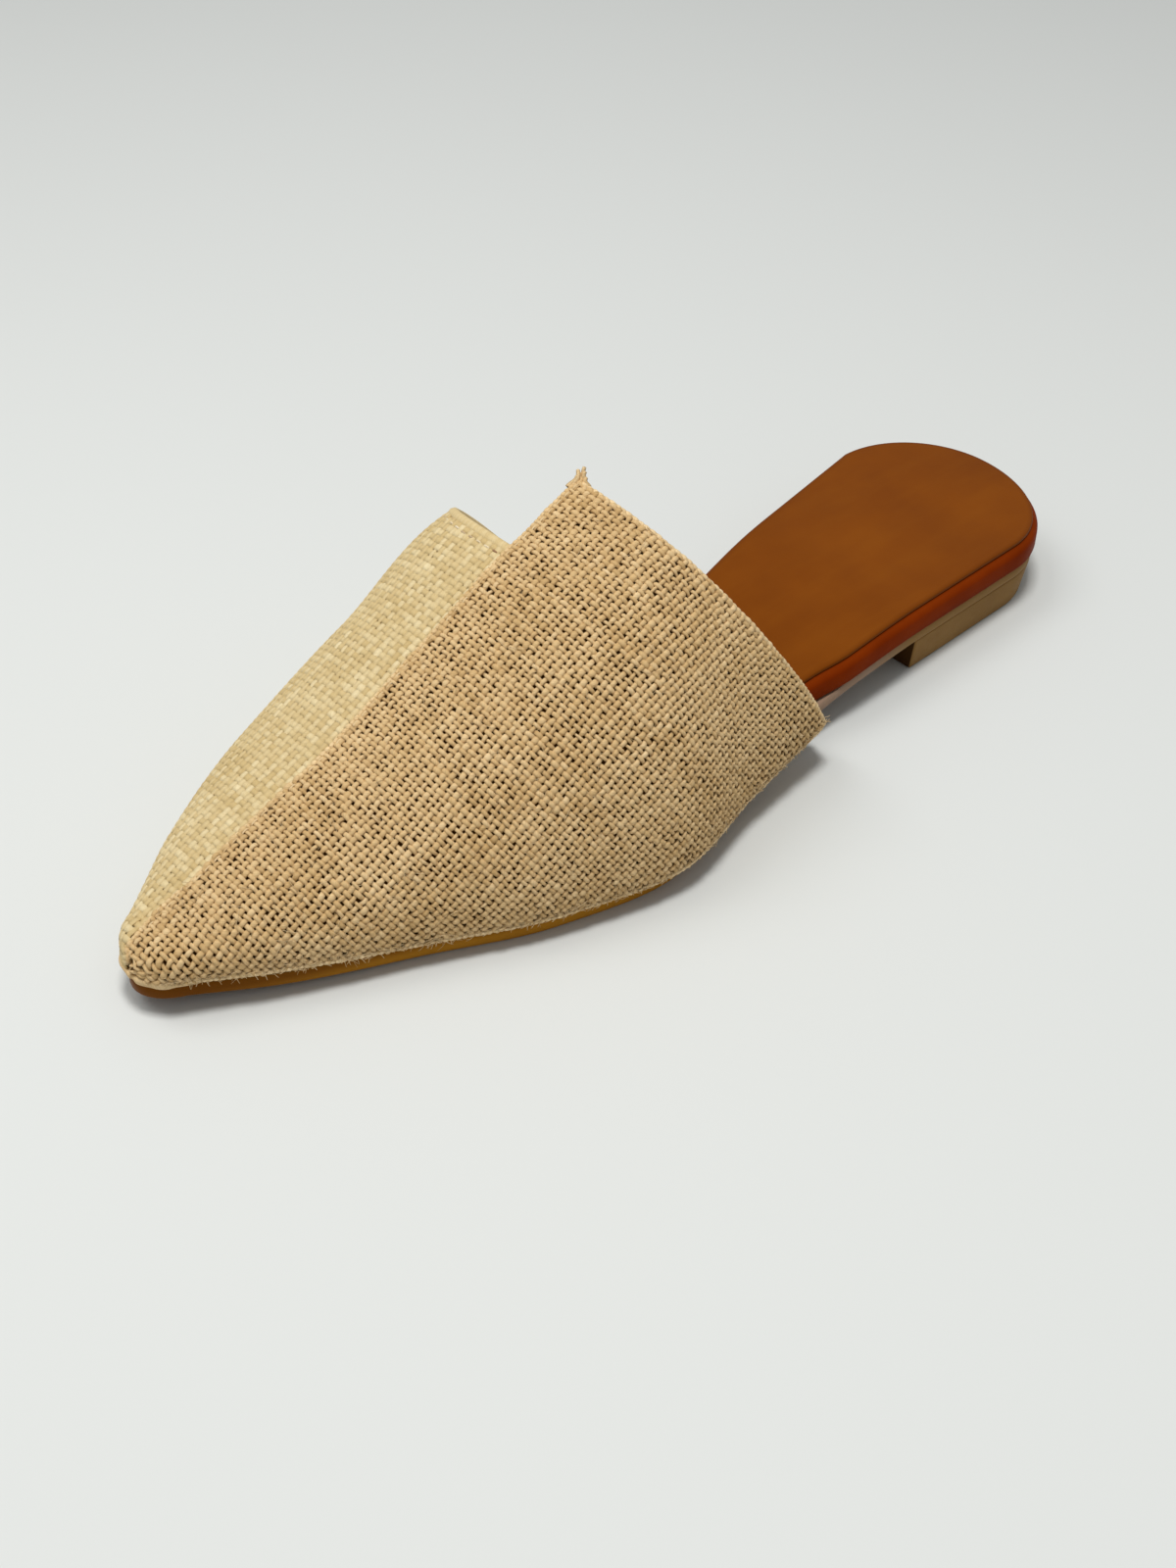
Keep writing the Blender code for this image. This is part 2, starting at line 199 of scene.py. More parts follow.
def toe_reach(angle):
    """How far along the toe an angle of its rounding lies: 0 where it starts, 1 at the tip."""
    start = np.sin(np.radians(TOE_TURN))
    return (np.sin(angle) - start) / (1.0 - start)


def toe_fullness(angle):
    """What is left of the section at an angle of the toe's rounding."""
    return np.cos(angle) / np.cos(np.radians(TOE_TURN))


def collar_station(turn, collar):
    """Station of a collar at a turn of the section."""
    height = np.maximum(np.sin(np.radians(turn)), 0.0) ** collar["spread"]
    below = np.clip(np.maximum(-turn, turn - 180.0) / TUCK_TURN, 0.0, 1.0)
    return collar["sole"] + collar["run"] * height - collar["trail"] * below


def vamp(turn, station, nose):
    """Points on the outside of the upper, from the lateral feather line over the crest to the medial one."""
    turn, station, nose = np.broadcast_arrays(turn, station, np.radians(nose))
    across = np.cos(np.radians(turn))
    height = np.maximum(np.sin(np.radians(turn)), 0.0)
    tuck = np.clip(np.maximum(-turn, turn - 180.0) / TUCK_TURN, 0.0, 1.0)
    outer = across > 0.0
    side = np.where(outer, 1.0, -1.0)
    square = np.where(outer, UPPER_RULE["outer_square"](station), UPPER_RULE["inner_square"](station))
    bulge = np.where(outer, UPPER_RULE["lateral"](station), UPPER_RULE["medial"](station))
    plan = np.where(outer, PLAN_RULE["lateral"](station), PLAN_RULE["medial"](station))
    shift = UPPER_RULE["shift"](station)
    reach = plan + bulge - side * shift
    spread = np.where(tuck > 0.0, 1.0, np.abs(across) ** (2.0 / square))
    drawn_in = (bulge - FEATHER_OUT) * tuck * tuck
    y = shift + side * (reach * spread - drawn_in)
    ahead = UPPER_TOE + (UPPER_TOE_LOW - UPPER_TOE) * (1.0 - height) + (FEATHER_TOE - UPPER_TOE_LOW) * tuck * tuck
    x = station + ahead * toe_reach(nose)
    widest = bed_bottom(station) + WAIST_RISE
    arch = (UPPER_RULE["crest"](station) - widest) * height ** (2.0 / square)
    z = bed_bottom(x) + WAIST_RISE * (1.0 - tuck) + arch * toe_fullness(nose)
    return np.stack((x, TOE_Y + (y - TOE_Y) * toe_fullness(nose), z), axis=-1)


def nose_angle(run):
    """Angle of the toe's rounding at a distance along the last, in degrees."""
    share = np.clip((run - TOE_START) / TOE_SPAN, 0.0, 0.97)
    return TOE_TURN + (90.0 - TOE_TURN) * share


def on_last(turn, run):
    """Points of the upper's outside at turns and distances along the last, round the toe to its tip."""
    return vamp(turn, np.minimum(run, TOE_START), nose_angle(run))


def normals(turn, run):
    """Outward normals of the upper's outside."""
    turn, run = np.broadcast_arrays(np.asarray(turn, float), np.asarray(run, float))
    run = np.minimum(run, TOE_START + 0.93 * TOE_SPAN)
    around = on_last(turn + 0.5, run) - on_last(turn - 0.5, run)
    along = on_last(turn, run + 0.25) - on_last(turn, run - 0.25)
    normal = np.cross(around, along)
    return normal / np.maximum(np.linalg.norm(normal, axis=-1), 1e-9)[..., None]


def lap_turn(run):
    """Turn of the crossover panel's overlap edge, which comes down round the toe."""
    wrap = np.clip((nose_angle(run) - TOE_TURN) / (TOE_WRAP - TOE_TURN), 0.0, 1.0)
    at_toe = LAP[-1][1]
    return np.where(run > TOE_START, at_toe + (180.0 + HEM_TURN - at_toe) * wrap**4, LAP_RULE(run))


def hem_turn(run):
    """Turn of the crossover panel's worn hem, which hangs a little lower towards the collar."""
    return -HEM_TURN - HEM_DROP * ramp((150.0 - run) / 40.0)


def toe_pad(turn, run):
    """Where the close weave is padded out round the toe, flush with the edge that laps it."""
    return ramp((run - 240.0) / 18.0) * ramp((turn - 94.0) / 30.0)


def free_corner(turn, run):
    """Where the cloth hangs free and looser, at the corner of the collar and the hem."""
    return ramp((165.0 - run) / 30.0) * ramp((40.0 - turn) / 40.0)


def open_last(turn, run):
    """The last with the tip of its toe left open and its walls carried straight on, to lay cloth out on."""
    points = on_last(np.clip(turn, -TUCK_TURN, 180.0 + TUCK_TURN), np.minimum(run, NET_END))
    points[..., 0] += np.maximum(run - NET_END, 0.0)
    below = np.maximum(np.maximum(-turn, turn - 180.0) - TUCK_TURN, 0.0)
    points[..., 2] -= below * WAIST_RISE / TUCK_TURN
    return points


def step_across(turn, run, distance):
    """Go a distance along the cloth at right angles to one of its rows, outwards if positive."""
    around = open_last(turn + 0.5, run) - open_last(turn - 0.5, run)
    along = (open_last(turn, run + 0.25) - open_last(turn, run - 0.25)) / 0.5
    row = np.gradient(open_last(turn, run), axis=0)
    ahead = np.cross(np.cross(around, along), row)
    ahead /= np.maximum(np.linalg.norm(ahead, axis=1), 1e-9)[:, None]
    ahead *= np.where((ahead * around).sum(axis=1) > 0.0, -1.0, 1.0)[:, None]
    a, b, c = (around * around).sum(axis=1), (around * along).sum(axis=1), (along * along).sum(axis=1)
    p, q = (ahead * around).sum(axis=1), (ahead * along).sum(axis=1)
    area = a * c - b * b
    turn = turn + distance * (c * p - b * q) / area
    run = run + distance * (a * q - b * p) / area
    for values in (turn, run):
        values[1:-1] = 0.25 * values[:-2] + 0.5 * values[1:-1] + 0.25 * values[2:]
    return turn, run


def solve_cell(turn, run, before_u, before_v, pick, row):
    """Move corners of the net until they are a pick and a row away from the two corners before them.

    A cell that would shear past the cloth's limit keeps that angle and gives a little in length, and the
    cloth lies looser at the free corner of the collar.
    """
    corner = free_corner(turn, run)
    pick, row = pick * (1.0 + LOOSE[0] * corner), row * (1.0 + LOOSE[1] * corner)
    for _ in range(6):
        here = open_last(turn, run)
        ways = (
            open_last(turn + 0.5, run) - open_last(turn - 0.5, run),
            (open_last(turn, run + 0.25) - open_last(turn, run - 0.25)) / 0.5,
        )
        to_u, to_v = here - before_u, here - before_v
        far_u = np.maximum(np.linalg.norm(to_u, axis=1), 1e-6)
        far_v = np.maximum(np.linalg.norm(to_v, axis=1), 1e-6)
        shear = (to_u * to_v).sum(axis=1) / (far_u * far_v)
        past = shear - np.clip(shear, -SHEAR, SHEAR)
        miss = np.stack((pick - far_u, row - far_v, -STIFF * past))
        slopes = []
        for way in ways:
            by_u, by_v = (way * to_u).sum(axis=1), (way * to_v).sum(axis=1)
            bend = (by_u + by_v) / (far_u * far_v) - shear * (by_u / far_u ** 2 + by_v / far_v ** 2)
            slopes.append(np.stack((by_u / far_u, by_v / far_v, np.where(past == 0.0, 0.0, STIFF * bend))))
        a, b, c = [(slopes[i] * slopes[j]).sum(axis=0) for i, j in ((0, 0), (0, 1), (1, 1))]
        p, q = (slopes[0] * miss).sum(axis=0), (slopes[1] * miss).sum(axis=0)
        area = a * c - b * b + 1e-9
        turn = turn + np.clip((c * p - b * q) / area, -6.0, 6.0)
        run = run + np.clip((a * q - b * p) / area, -2.0, 2.0)
    return turn, run


def net_quarter(first_row, first_pick, pick, row):
    """A quarter of the net from the first row and the first pick that bound it."""
    turn = np.zeros((len(first_row), len(first_pick)))
    run = np.zeros_like(turn)
    turn[:, 0], run[:, 0] = first_row.T
    turn[0], run[0] = first_pick.T
    for s in range(2, sum(turn.shape) - 1):
        i = np.arange(max(1, s - turn.shape[1] + 1), min(turn.shape[0] - 1, s - 1) + 1)
        j = s - i
        guess_turn = turn[i, j - 1] + turn[i - 1, j] - turn[i - 1, j - 1]
        guess_run = run[i, j - 1] + run[i - 1, j] - run[i - 1, j - 1]
        before_u = open_last(turn[i - 1, j], run[i - 1, j])
        before_v = open_last(turn[i, j - 1], run[i, j - 1])
        turn[i, j], run[i, j] = solve_cell(guess_turn, guess_run, before_u, before_v, pick, row)
    return turn, run


def cloth_net(pick, row, outwards, inwards):
    """Lay a woven cloth out on the upper: turns and distances along the last, by pick and by row.

    The lap line is one of its rows and a pick crosses it at right angles; every other cell keeps its
    sides and only shears, as a loose weave does over a rounded form.
    """
    line = np.arange(NET_BACK - 2.0, NET_AHEAD + 2.0, 0.25)
    steps = np.linalg.norm(np.diff(open_last(LAP_LINE, line), axis=0), axis=1)
    length = np.concatenate(([0.0], np.cumsum(steps)))
    middle = np.interp(NET_STATION, line, length)
    rows = []
    for way, last in ((-1.0, np.interp(NET_BACK, line, length)), (1.0, np.interp(NET_AHEAD, line, length))):
        at = np.arange(middle, last, way * pick)
        rows.append(np.stack((np.full(len(at), LAP_LINE), np.interp(at, length, line)), axis=1))
    picks = []
    for way, reach in ((-1.0, inwards), (1.0, outwards)):
        turn = np.full(9, LAP_LINE)
        run = NET_STATION + np.arange(-4, 5) * 0.5
        found = [(turn[4], run[4])]
        for _ in range(int(reach / row)):
            for _ in range(4):
                turn, run = step_across(turn, run, way * row / 4.0)
            found.append((turn[4], run[4]))
        picks.append(np.array(found))
    halves = []
    for first_row in rows:
        (in_turn, in_run), (out_turn, out_run) = [net_quarter(first_row, first, pick, row) for first in picks]
        halves.append((
            np.concatenate((in_turn[:, :0:-1], out_turn), axis=1),
            np.concatenate((in_run[:, :0:-1], out_run), axis=1),
        ))
    (back_turn, back_run), (front_turn, front_run) = halves
    turn = np.concatenate((back_turn[:0:-1], front_turn))
    run = np.concatenate((back_run[:0:-1], front_run))
    return thirds(turn), thirds(run)


def thirds(values):
    """Put two more values between each pair of a grid, along both of its sides."""
    for _ in range(2):
        count = len(values)
        at = np.arange(3 * count - 2) / 3.0
        low = np.minimum(at.astype(int), count - 2)
        share = (at - low)[:, None]
        values = (values[low] * (1.0 - share) + values[low + 1] * share).T
    return values


def frame_origin():
    """Back of the heel on the floor, where the stations start, in the frame."""
    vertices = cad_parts["footbed"].data.vertices
    flat = np.zeros(3 * len(vertices))
    vertices.foreach_get("co", flat)
    points = flat.reshape(-1, 3)
    return points[points[:, 0].argmin()] * (1.0, 1.0, 0.0)


ORIGIN = frame_origin()


def place(points):
    """Put points of the last, in millimetres, into the frame."""
    return np.asarray(points) * MM + ORIGIN


def drift(random, count, knots, size):
    """A slow random wander of a given size, one value a sample."""
    values = random.normal(0.0, size, knots)
    return np.interp(np.linspace(0.0, knots - 1.0, count), np.arange(knots), values)


# Meshes


def deselect():
    """Leave nothing selected, in object mode."""
    bpy.ops.object.select_all(action="DESELECT")


def laid_grid(name, points):
    """Add a grid and lay it on rows and columns of points in millimetres."""
    rows, columns = points.shape[:2]
    deselect()
    bpy.ops.mesh.primitive_grid_add(x_subdivisions=columns - 1, y_subdivisions=rows - 1, size=1.0)
    piece = bpy.context.active_object
    piece.name = name
    piece.data.name = name
    piece.data.vertices.foreach_set("co", place(points.reshape(-1, 3)).ravel())
    piece.data.update()
    return piece


def weld(piece):
    """Join the points of a piece that coincide and turn its faces outwards."""
    bpy.context.view_layer.objects.active = piece
    bpy.ops.object.mode_set(mode="EDIT")
    bpy.ops.mesh.select_all(action="SELECT")
    bpy.ops.mesh.remove_doubles(threshold=2.0e-6)
    bpy.ops.mesh.normals_make_consistent(inside=False)
    bpy.ops.object.mode_set(mode="OBJECT")


def apply_modifier(piece, kind, **settings):
    """Add a modifier to a piece and apply it."""
    bpy.context.view_layer.objects.active = piece
    modifier = piece.modifiers.new(kind.lower(), kind)
    for key, value in settings.items():
        setattr(modifier, key, value)
    bpy.ops.object.modifier_apply(modifier=modifier.name)


def smooth(piece, angle=50.0):
    """Shade a piece smooth except over its sharp edges."""
    deselect()
    piece.select_set(True)
    bpy.context.view_layer.objects.active = piece
    bpy.ops.object.shade_smooth_by_angle(angle=math.radians(angle))


def quad_mesh(name, points, quads):
    """Make an object from points in millimetres and faces of four corners."""
    mesh = bpy.data.meshes.new(name)
    mesh.vertices.add(len(points))
    mesh.vertices.foreach_set("co", place(points).ravel())
    mesh.loops.add(4 * len(quads))
    mesh.loops.foreach_set("vertex_index", np.asarray(quads, dtype=np.int32).ravel())
    mesh.polygons.add(len(quads))
    mesh.polygons.foreach_set("loop_start", np.arange(0, 4 * len(quads), 4, dtype=np.int32))
    mesh.update(calc_edges=True)
    mesh.validate()
    mesh.shade_smooth()
    piece = bpy.data.objects.new(name, mesh)
    bpy.context.scene.collection.objects.link(piece)
    return piece


def point_attribute(piece, name, values):
    """Store one number a vertex for the materials."""
    layer = piece.data.attributes.new(name, "FLOAT", "POINT")
    layer.data.foreach_set("value", np.asarray(values, dtype=np.float32))


def tubes(name, runs, sides=6):
    """Join runs of thread into one mesh of closed tubes with an even number of sides.

    A run has points, normals, half widths, half thicknesses and tones; the UV map runs along each
    thread in millimetres and once round it.
    """
    turn = np.radians(-90.0 + 360.0 * np.arange(sides) / sides)
    points, quads, tones, maps = [], [], [], []
    first = 0
    for run in runs:
        middle = run["points"]
        count = len(middle)
        tangent = np.gradient(middle, axis=0)
        side = np.cross(tangent, run["normals"])
        side /= np.maximum(np.linalg.norm(side, axis=1), 1e-9)[:, None]
        normal = np.cross(side, tangent)
        normal /= np.maximum(np.linalg.norm(normal, axis=1), 1e-9)[:, None]
        wide = (run["width"][:, None] * np.cos(turn))[..., None] * side[:, None, :]
        thick = (run["thick"][:, None] * np.sin(turn))[..., None] * normal[:, None, :]
        points.append((middle[:, None, :] + wide + thick).reshape(-1, 3))
        ring = np.arange(count - 1)[:, None] * sides + np.arange(sides)
        after = np.arange(count - 1)[:, None] * sides + (np.arange(sides) + 1) % sides
        body = np.stack((ring, after, after + sides, ring + sides), axis=-1).reshape(-1, 4)
        last = (count - 1) * sides
        caps = [(0, k + 2, k + 1, k) for k in range(1, sides - 2, 2)]
        far = [tuple(last + v for v in reversed(cap)) for cap in caps]
        quads.append(np.concatenate((body, np.array(caps + far, dtype=int).reshape(-1, 4))) + first)
        along = np.concatenate(([0.0], np.cumsum(np.linalg.norm(np.diff(middle, axis=0), axis=1))))
        along += run.get("start", 0.0)
        uv = np.zeros((count - 1, sides, 4, 2))
        uv[..., 0] = along[np.arange(count - 1)[:, None] + (0, 0, 1, 1)][:, None]
        uv[..., 1] = (np.arange(sides)[:, None] + (0, 1, 1, 0)) / sides
        maps.append(np.concatenate((uv.reshape(-1, 2), np.zeros((4 * len(caps + far), 2)))))
        tones.append(np.repeat(run["tone"], sides))
        first += count * sides
    quads = np.concatenate(quads)
    piece = quad_mesh(name, np.concatenate(points), quads)
    layer = piece.data.uv_layers.new(name="thread")
    layer.data.foreach_set("uv", np.concatenate(maps).astype(np.float32).ravel())
    point_attribute(piece, "tone", np.concatenate(tones))
    return piece


def runs_of(inside, least=4):
    """Start and stop of each unbroken stretch of samples."""
    padded = np.concatenate(([False], inside, [False]))
    edges = np.flatnonzero(padded[1:] != padded[:-1])
    return [(a, b) for a, b in zip(edges[::2], edges[1::2]) if b - a >= least]


# The weave


class Cloth:
    """A plain weave laid on the upper: its pitches and its threads."""

    def __init__(
            self, along_pitch, across_pitch, fill, draw, thick, lift, pad, wave, wobble, swell, tone, reach, seed):
        self.along_pitch = along_pitch
        self.across_pitch = across_pitch
        self.fill = fill
        self.draw = draw
        self.thick = thick
        self.lift = lift
        self.pad = pad
        self.wave = wave
        self.wobble = wobble
        self.swell = swell
        self.tone = tone
        self.random = np.random.default_rng(seed)
        self.turn, self.run = cloth_net(across_pitch, along_pitch, *reach)
        points = open_last(self.turn, self.run)
        self.apart = [3.0 * np.linalg.norm(np.gradient(points, axis=axis), axis=2) for axis in (0, 1)]

    def thread(self, turn, run, phase, pitch, tone, start):
        """One stretch of thread over and under those that it crosses."""
        count = len(turn)
        random = self.random
        normal = normals(turn, run)
        over = np.cos(phase)
        points = on_last(turn, run)
        aside = np.cross(np.gradient(points, axis=0), normal)
        aside /= np.maximum(np.linalg.norm(aside, axis=1), 1e-9)[:, None]
        points = points + normal * (self.lift + self.pad * toe_pad(turn, run) + self.wave * over)[:, None]
        points = points + aside * drift(random, count, max(4, count // 5), self.wobble)[:, None]
        swell = 1.0 + drift(random, count, max(3, count // 5), self.swell)
        swell *= 1.0 + drift(random, count, max(3, count // 24), 0.3 * self.swell)
        full = toe_fullness(np.radians(nose_angle(run))) / toe_fullness(np.radians(nose_angle(NET_END)))
        full = np.clip(full, 0.4, 1.0)
        return {
            "points": points,
            "normals": normal,
            "width": pitch * self.fill * 0.5 * np.clip(swell, 0.55, 1.35) * (1.0 + 0.06 * over) * full,
            "thick": self.thick * (0.8 + 0.2 * swell),
            "tone": np.clip(tone + drift(random, count, max(3, count // 6), self.tone), 0.3, 0.9) + 0.1 * over,
            "start": start,
        }

    def threads(self, inside, along):
        """Threads that run with the lap, or those across it, where they lie inside a region."""
        turns, runs = (self.turn.T, self.run.T) if along else (self.turn, self.run)
        pitch = self.along_pitch if along else self.across_pitch
        apart = self.apart[1].T if along else self.apart[0]
        made = []
        for k in range(0, len(turns), 3):
            phase = math.pi * (np.arange(turns.shape[1]) + k + (0.0 if along else 3.0)) / 3.0
            tone = 0.5 + self.random.normal(0.0, 0.6 * self.tone)
            slack = self.random.normal(0.0, 0.35)
            for a, b in runs_of(inside(turns[k], runs[k], slack)):
                wide = pitch * np.clip(apart[k, a:b] / pitch, 1.0, self.draw)
                made.append(self.thread(turns[k, a:b], runs[k, a:b], phase[a:b], wide, tone, 7.3 * k))
        return made


def arc_shift(turn, run, distance):
    """Turns reached by going a distance round the section towards the lateral side."""
    per_turn = np.linalg.norm(on_last(turn, run) - on_last(turn - 1.0, run), axis=-1)
    return turn - distance / np.maximum(per_turn, 0.05)


def strip(turn, x, lift, width, thick, tone):
    """A run of flat binding along a line on the upper."""
    normal = normals(turn, x)
    count = len(turn)
    return {
        "points": on_last(turn, x) + normal * np.broadcast_to(lift, count)[:, None],
        "normals": normal,
        "width": np.broadcast_to(width, count) * 1.0,
        "thick": np.broadcast_to(thick, count) * 1.0,
        "tone": np.broadcast_to(tone, count) * 1.0,
    }


# Materials


def colour(red, green, blue):
    """Linear colour of a display colour given in 0 to 255."""
    value = np.array((red, green, blue)) / 255.0
    linear = np.where(value <= 0.04045, value / 12.92, ((value + 0.055) / 1.055) ** 2.4)
    return (*[float(v) for v in linear], 1.0)


def node(tree, kind, settings=None, inputs=None):
    """Add a shader node, with its settings and its inputs or the sockets that feed them."""
    made = tree.nodes.new(kind)
    for key, value in (settings or {}).items():
        setattr(made, key, value)
    for key, value in (inputs or {}).items():
        if isinstance(value, bpy.types.NodeSocket):
            tree.links.new(value, made.inputs[key])
        else:
            made.inputs[key].default_value = value
    return made


def mixed(tree, factor, first, second):
    """Mix two colours."""
    settings = {"data_type": "RGBA", "blend_type": "MIX"}
    return node(tree, "ShaderNodeMix", settings, {0: factor, 6: first, 7: second}).outputs[2]


def spread(tree, value, low, high, to_low, to_high):
    """Map a range of a value to another one."""
    inputs = {"Value": value, "From Min": low, "From Max": high, "To Min": to_low, "To Max": to_high}
    return node(tree, "ShaderNodeMapRange", {"clamp": True}, inputs).outputs["Result"]


def noise(tree, vector, scale, detail):
    """Noise on a coordinate."""
    inputs = {"Vector": vector, "Scale": scale, "Detail": detail, "Roughness": 0.55}
    return node(tree, "ShaderNodeTexNoise", None, inputs).outputs["Fac"]


def scaled(tree, vector, scale):
    """Stretch a coordinate."""
    return node(tree, "ShaderNodeMapping", None, {"Vector": vector, "Scale": scale}).outputs["Vector"]


def place_of(tree):
    """Object coordinate of a piece."""
    return node(tree, "ShaderNodeTexCoord").outputs["Object"]


def stored(tree, name):
    """A number stored on the vertices."""
    return node(tree, "ShaderNodeAttribute", {"attribute_name": name}).outputs["Fac"]


def bumped(tree, height, strength, distance):
    """A bump from a height."""
    inputs = {"Height": height, "Strength": strength, "Distance": distance}
    return node(tree, "ShaderNodeBump", None, inputs).outputs["Normal"]


def new_material(name):
    """A material, its node tree and its shader."""
    material = bpy.data.materials.new(name)
    material.use_nodes = True
    tree = material.node_tree
    return material, tree, tree.nodes["Principled BSDF"]


def dress(shader, tree, **inputs):
    """Set or feed the inputs of a shader; an underscore stands for a space."""
    for key, value in inputs.items():
        socket = shader.inputs[key.replace("_", " ")]
        if isinstance(value, bpy.types.NodeSocket):
            tree.links.new(value, socket)
        else:
            socket.default_value = value


def thread_material(name, dark, middle, light, fibre, sheen, shade):
    """Spun fibre: each thread has its own tone, with fine fibres along its twist and a darker underside."""
    material, tree, shader = new_material(name)
    uv = node(tree, "ShaderNodeUVMap", {"uv_map": "thread"}).outputs["UV"]
    twist = node(tree, "ShaderNodeMapping", None, {"Vector": uv, "Rotation": (0.0, 0.0, 0.5)}).outputs["Vector"]
    fibres = noise(tree, scaled(tree, twist, (0.55, 9.0, 1.0)), 1.6, 3.0)
    patches = noise(tree, place_of(tree), 60.0, 2.0)
    tone = stored(tree, "tone")
    base = mixed(tree, spread(tree, tone, 0.0, 0.5, 0.0, 1.0), dark, middle)
    base = mixed(tree, spread(tree, tone, 0.5, 1.0, 0.0, 1.0), base, light)
    base = mixed(tree, spread(tree, fibres, 0.35, 0.72, 0.0, fibre), base, dark)
    base = mixed(tree, spread(tree, patches, 0.4, 0.75, 0.0, 0.22), base, light)
    rounds = node(tree, "ShaderNodeSeparateXYZ", None, {0: uv}).outputs["Y"]
    under = node(tree, "ShaderNodeMath", {"operation": "ABSOLUTE"}, {
        0: node(tree, "ShaderNodeMath", {"operation": "SUBTRACT"}, {0: rounds, 1: 0.5}).outputs[0],
    }).outputs[0]
    base = mixed(tree, spread(tree, under, 0.16, 0.42, 0.0, shade), base, dark)
    dress(
        shader, tree,
        Base_Color=base,
        Roughness=spread(tree, fibres, 0.2, 0.8, 0.68, 0.92),
        Specular_IOR_Level=0.25,
        Normal=bumped(tree, fibres, 0.6, 0.0003),
        Sheen_Weight=sheen,
        Sheen_Roughness=0.5,
        Sheen_Tint=light,
    )
    return material


def backing_material():
    """Cloth under the two panels: dark behind the open weave, straw-coloured behind the close one."""
    material, tree, shader = new_material("backing")
    grain = noise(tree, place_of(tree), 1500.0, 2.0)
    dark = mixed(tree, grain, colour(96, 58, 10), colour(126, 84, 24))
    straw = mixed(tree, grain, colour(188, 160, 106), colour(214, 190, 138))
    dress(
        shader, tree,
        Base_Color=mixed(tree, stored(tree, "medial"), dark, straw),
        Roughness=0.9,
        Specular_IOR_Level=0.05,
        Normal=bumped(tree, grain, 0.3, 0.0002),
    )
    return material


def lining_material():
    """Soft lining inside the upper."""
    material, tree, shader = new_material("lining")
    where = place_of(tree)
    grain = noise(tree, where, 2200.0, 3.0)
    cloud = noise(tree, where, 55.0, 3.0)
    base = mixed(tree, cloud, colour(196, 168, 124), colour(214, 188, 146))
    dress(
        shader, tree,
        Base_Color=mixed(tree, spread(tree, grain, 0.3, 0.8, 0.0, 0.3), base, colour(160, 130, 88)),
        Roughness=0.82,
        Normal=bumped(tree, grain, 0.25, 0.00015),
    )
    return material


def insole_material():
    """Smooth brown sock leather, a little mottled and darker along its edge."""
    material, tree, shader = new_material("sock_leather")
    where = place_of(tree)
    grain = noise(tree, where, 1400.0, 4.0)
    cloud = noise(tree, where, 34.0, 4.0)
    streak = noise(tree, scaled(tree, where, (30.0, 150.0, 1.0)), 1.0, 3.0)
    edge = stored(tree, "edge")
    base = mixed(tree, spread(tree, cloud, 0.3, 0.7, 0.0, 1.0), colour(108, 53, 6), colour(122, 63, 9))
    base = mixed(tree, spread(tree, streak, 0.45, 0.8, 0.0, 0.25), base, colour(132, 74, 14))
    base = mixed(tree, spread(tree, edge, 0.0, 1.4, 0.4, 0.0), base, colour(84, 36, 6))
    dress(
        shader, tree,
        Base_Color=base,
        Roughness=spread(tree, cloud, 0.25, 0.75, 0.46, 0.58),
        Specular_IOR_Level=0.12,
        Specular_Tint=colour(255, 170, 80),
        Normal=bumped(tree, grain, 0.12, 0.0002),
    )
    return material


def footbed_material():
    """Burnished red-brown wrap of the footbed, brighter along the crown of its edge."""
    material, tree, shader = new_material("wrapped_edge")
    where = place_of(tree)
    grain = noise(tree, where, 1100.0, 4.0)
    cloud = noise(tree, where, 70.0, 3.0)
    level = stored(tree, "level")
    base = mixed(tree, spread(tree, cloud, 0.3, 0.7, 0.0, 1.0), colour(112, 36, 3), colour(132, 48, 6))
    base = mixed(tree, spread(tree, level, 0.0, 0.3, 0.5, 0.0), base, colour(92, 34, 8))
    base = mixed(tree, spread(tree, level, 0.76, 1.0, 0.0, 0.5), base, colour(112, 46, 8))
    dress(
        shader, tree,
        Base_Color=base,
        Roughness=spread(tree, grain, 0.3, 0.7, 0.34, 0.46),
        Specular_IOR_Level=0.008,
        Specular_Tint=colour(255, 150, 70),
        Normal=bumped(tree, grain, 0.10, 0.0002),
    )
    return material


def outsole_material():
    """Amber rubber at the forepart, dark at the toe, with a pale waist and satin khaki over the heel."""
    material, tree, shader = new_material("sole_rubber")
    where = place_of(tree)
    grain = noise(tree, where, 900.0, 3.0)
    cloud = noise(tree, where, 45.0, 3.0)
    split = node(tree, "ShaderNodeSeparateXYZ", None, {0: where}).outputs
    along = split["X"]
    amber = mixed(tree, cloud, colour(164, 108, 28), colour(186, 130, 40))
    amber = mixed(tree, spread(tree, split["Z"], 0.0022, 0.0042, 0.0, 0.7), amber, colour(112, 62, 12))
    amber = mixed(tree, spread(tree, along, 0.085, 0.122, 0.0, 0.75), amber, colour(104, 56, 12))
    khaki = mixed(tree, cloud, colour(132, 100, 58), colour(148, 114, 68))
    pale = colour(150, 124, 104)
    front = spread(tree, along, -0.012, 0.006, 0.0, 1.0)
    waist = spread(tree, along, -0.066, -0.05, 0.0, 1.0)
    base = mixed(tree, waist, khaki, pale)
    base = mixed(tree, front, base, amber)
    dress(
        shader, tree,
        Base_Color=base,
        Roughness=spread(tree, front, 0.0, 1.0, 0.5, 0.3),
        Specular_IOR_Level=0.04,
        Specular_Tint=colour(255, 210, 150),
        Normal=bumped(tree, grain, 0.08, 0.0002),
    )
    return material


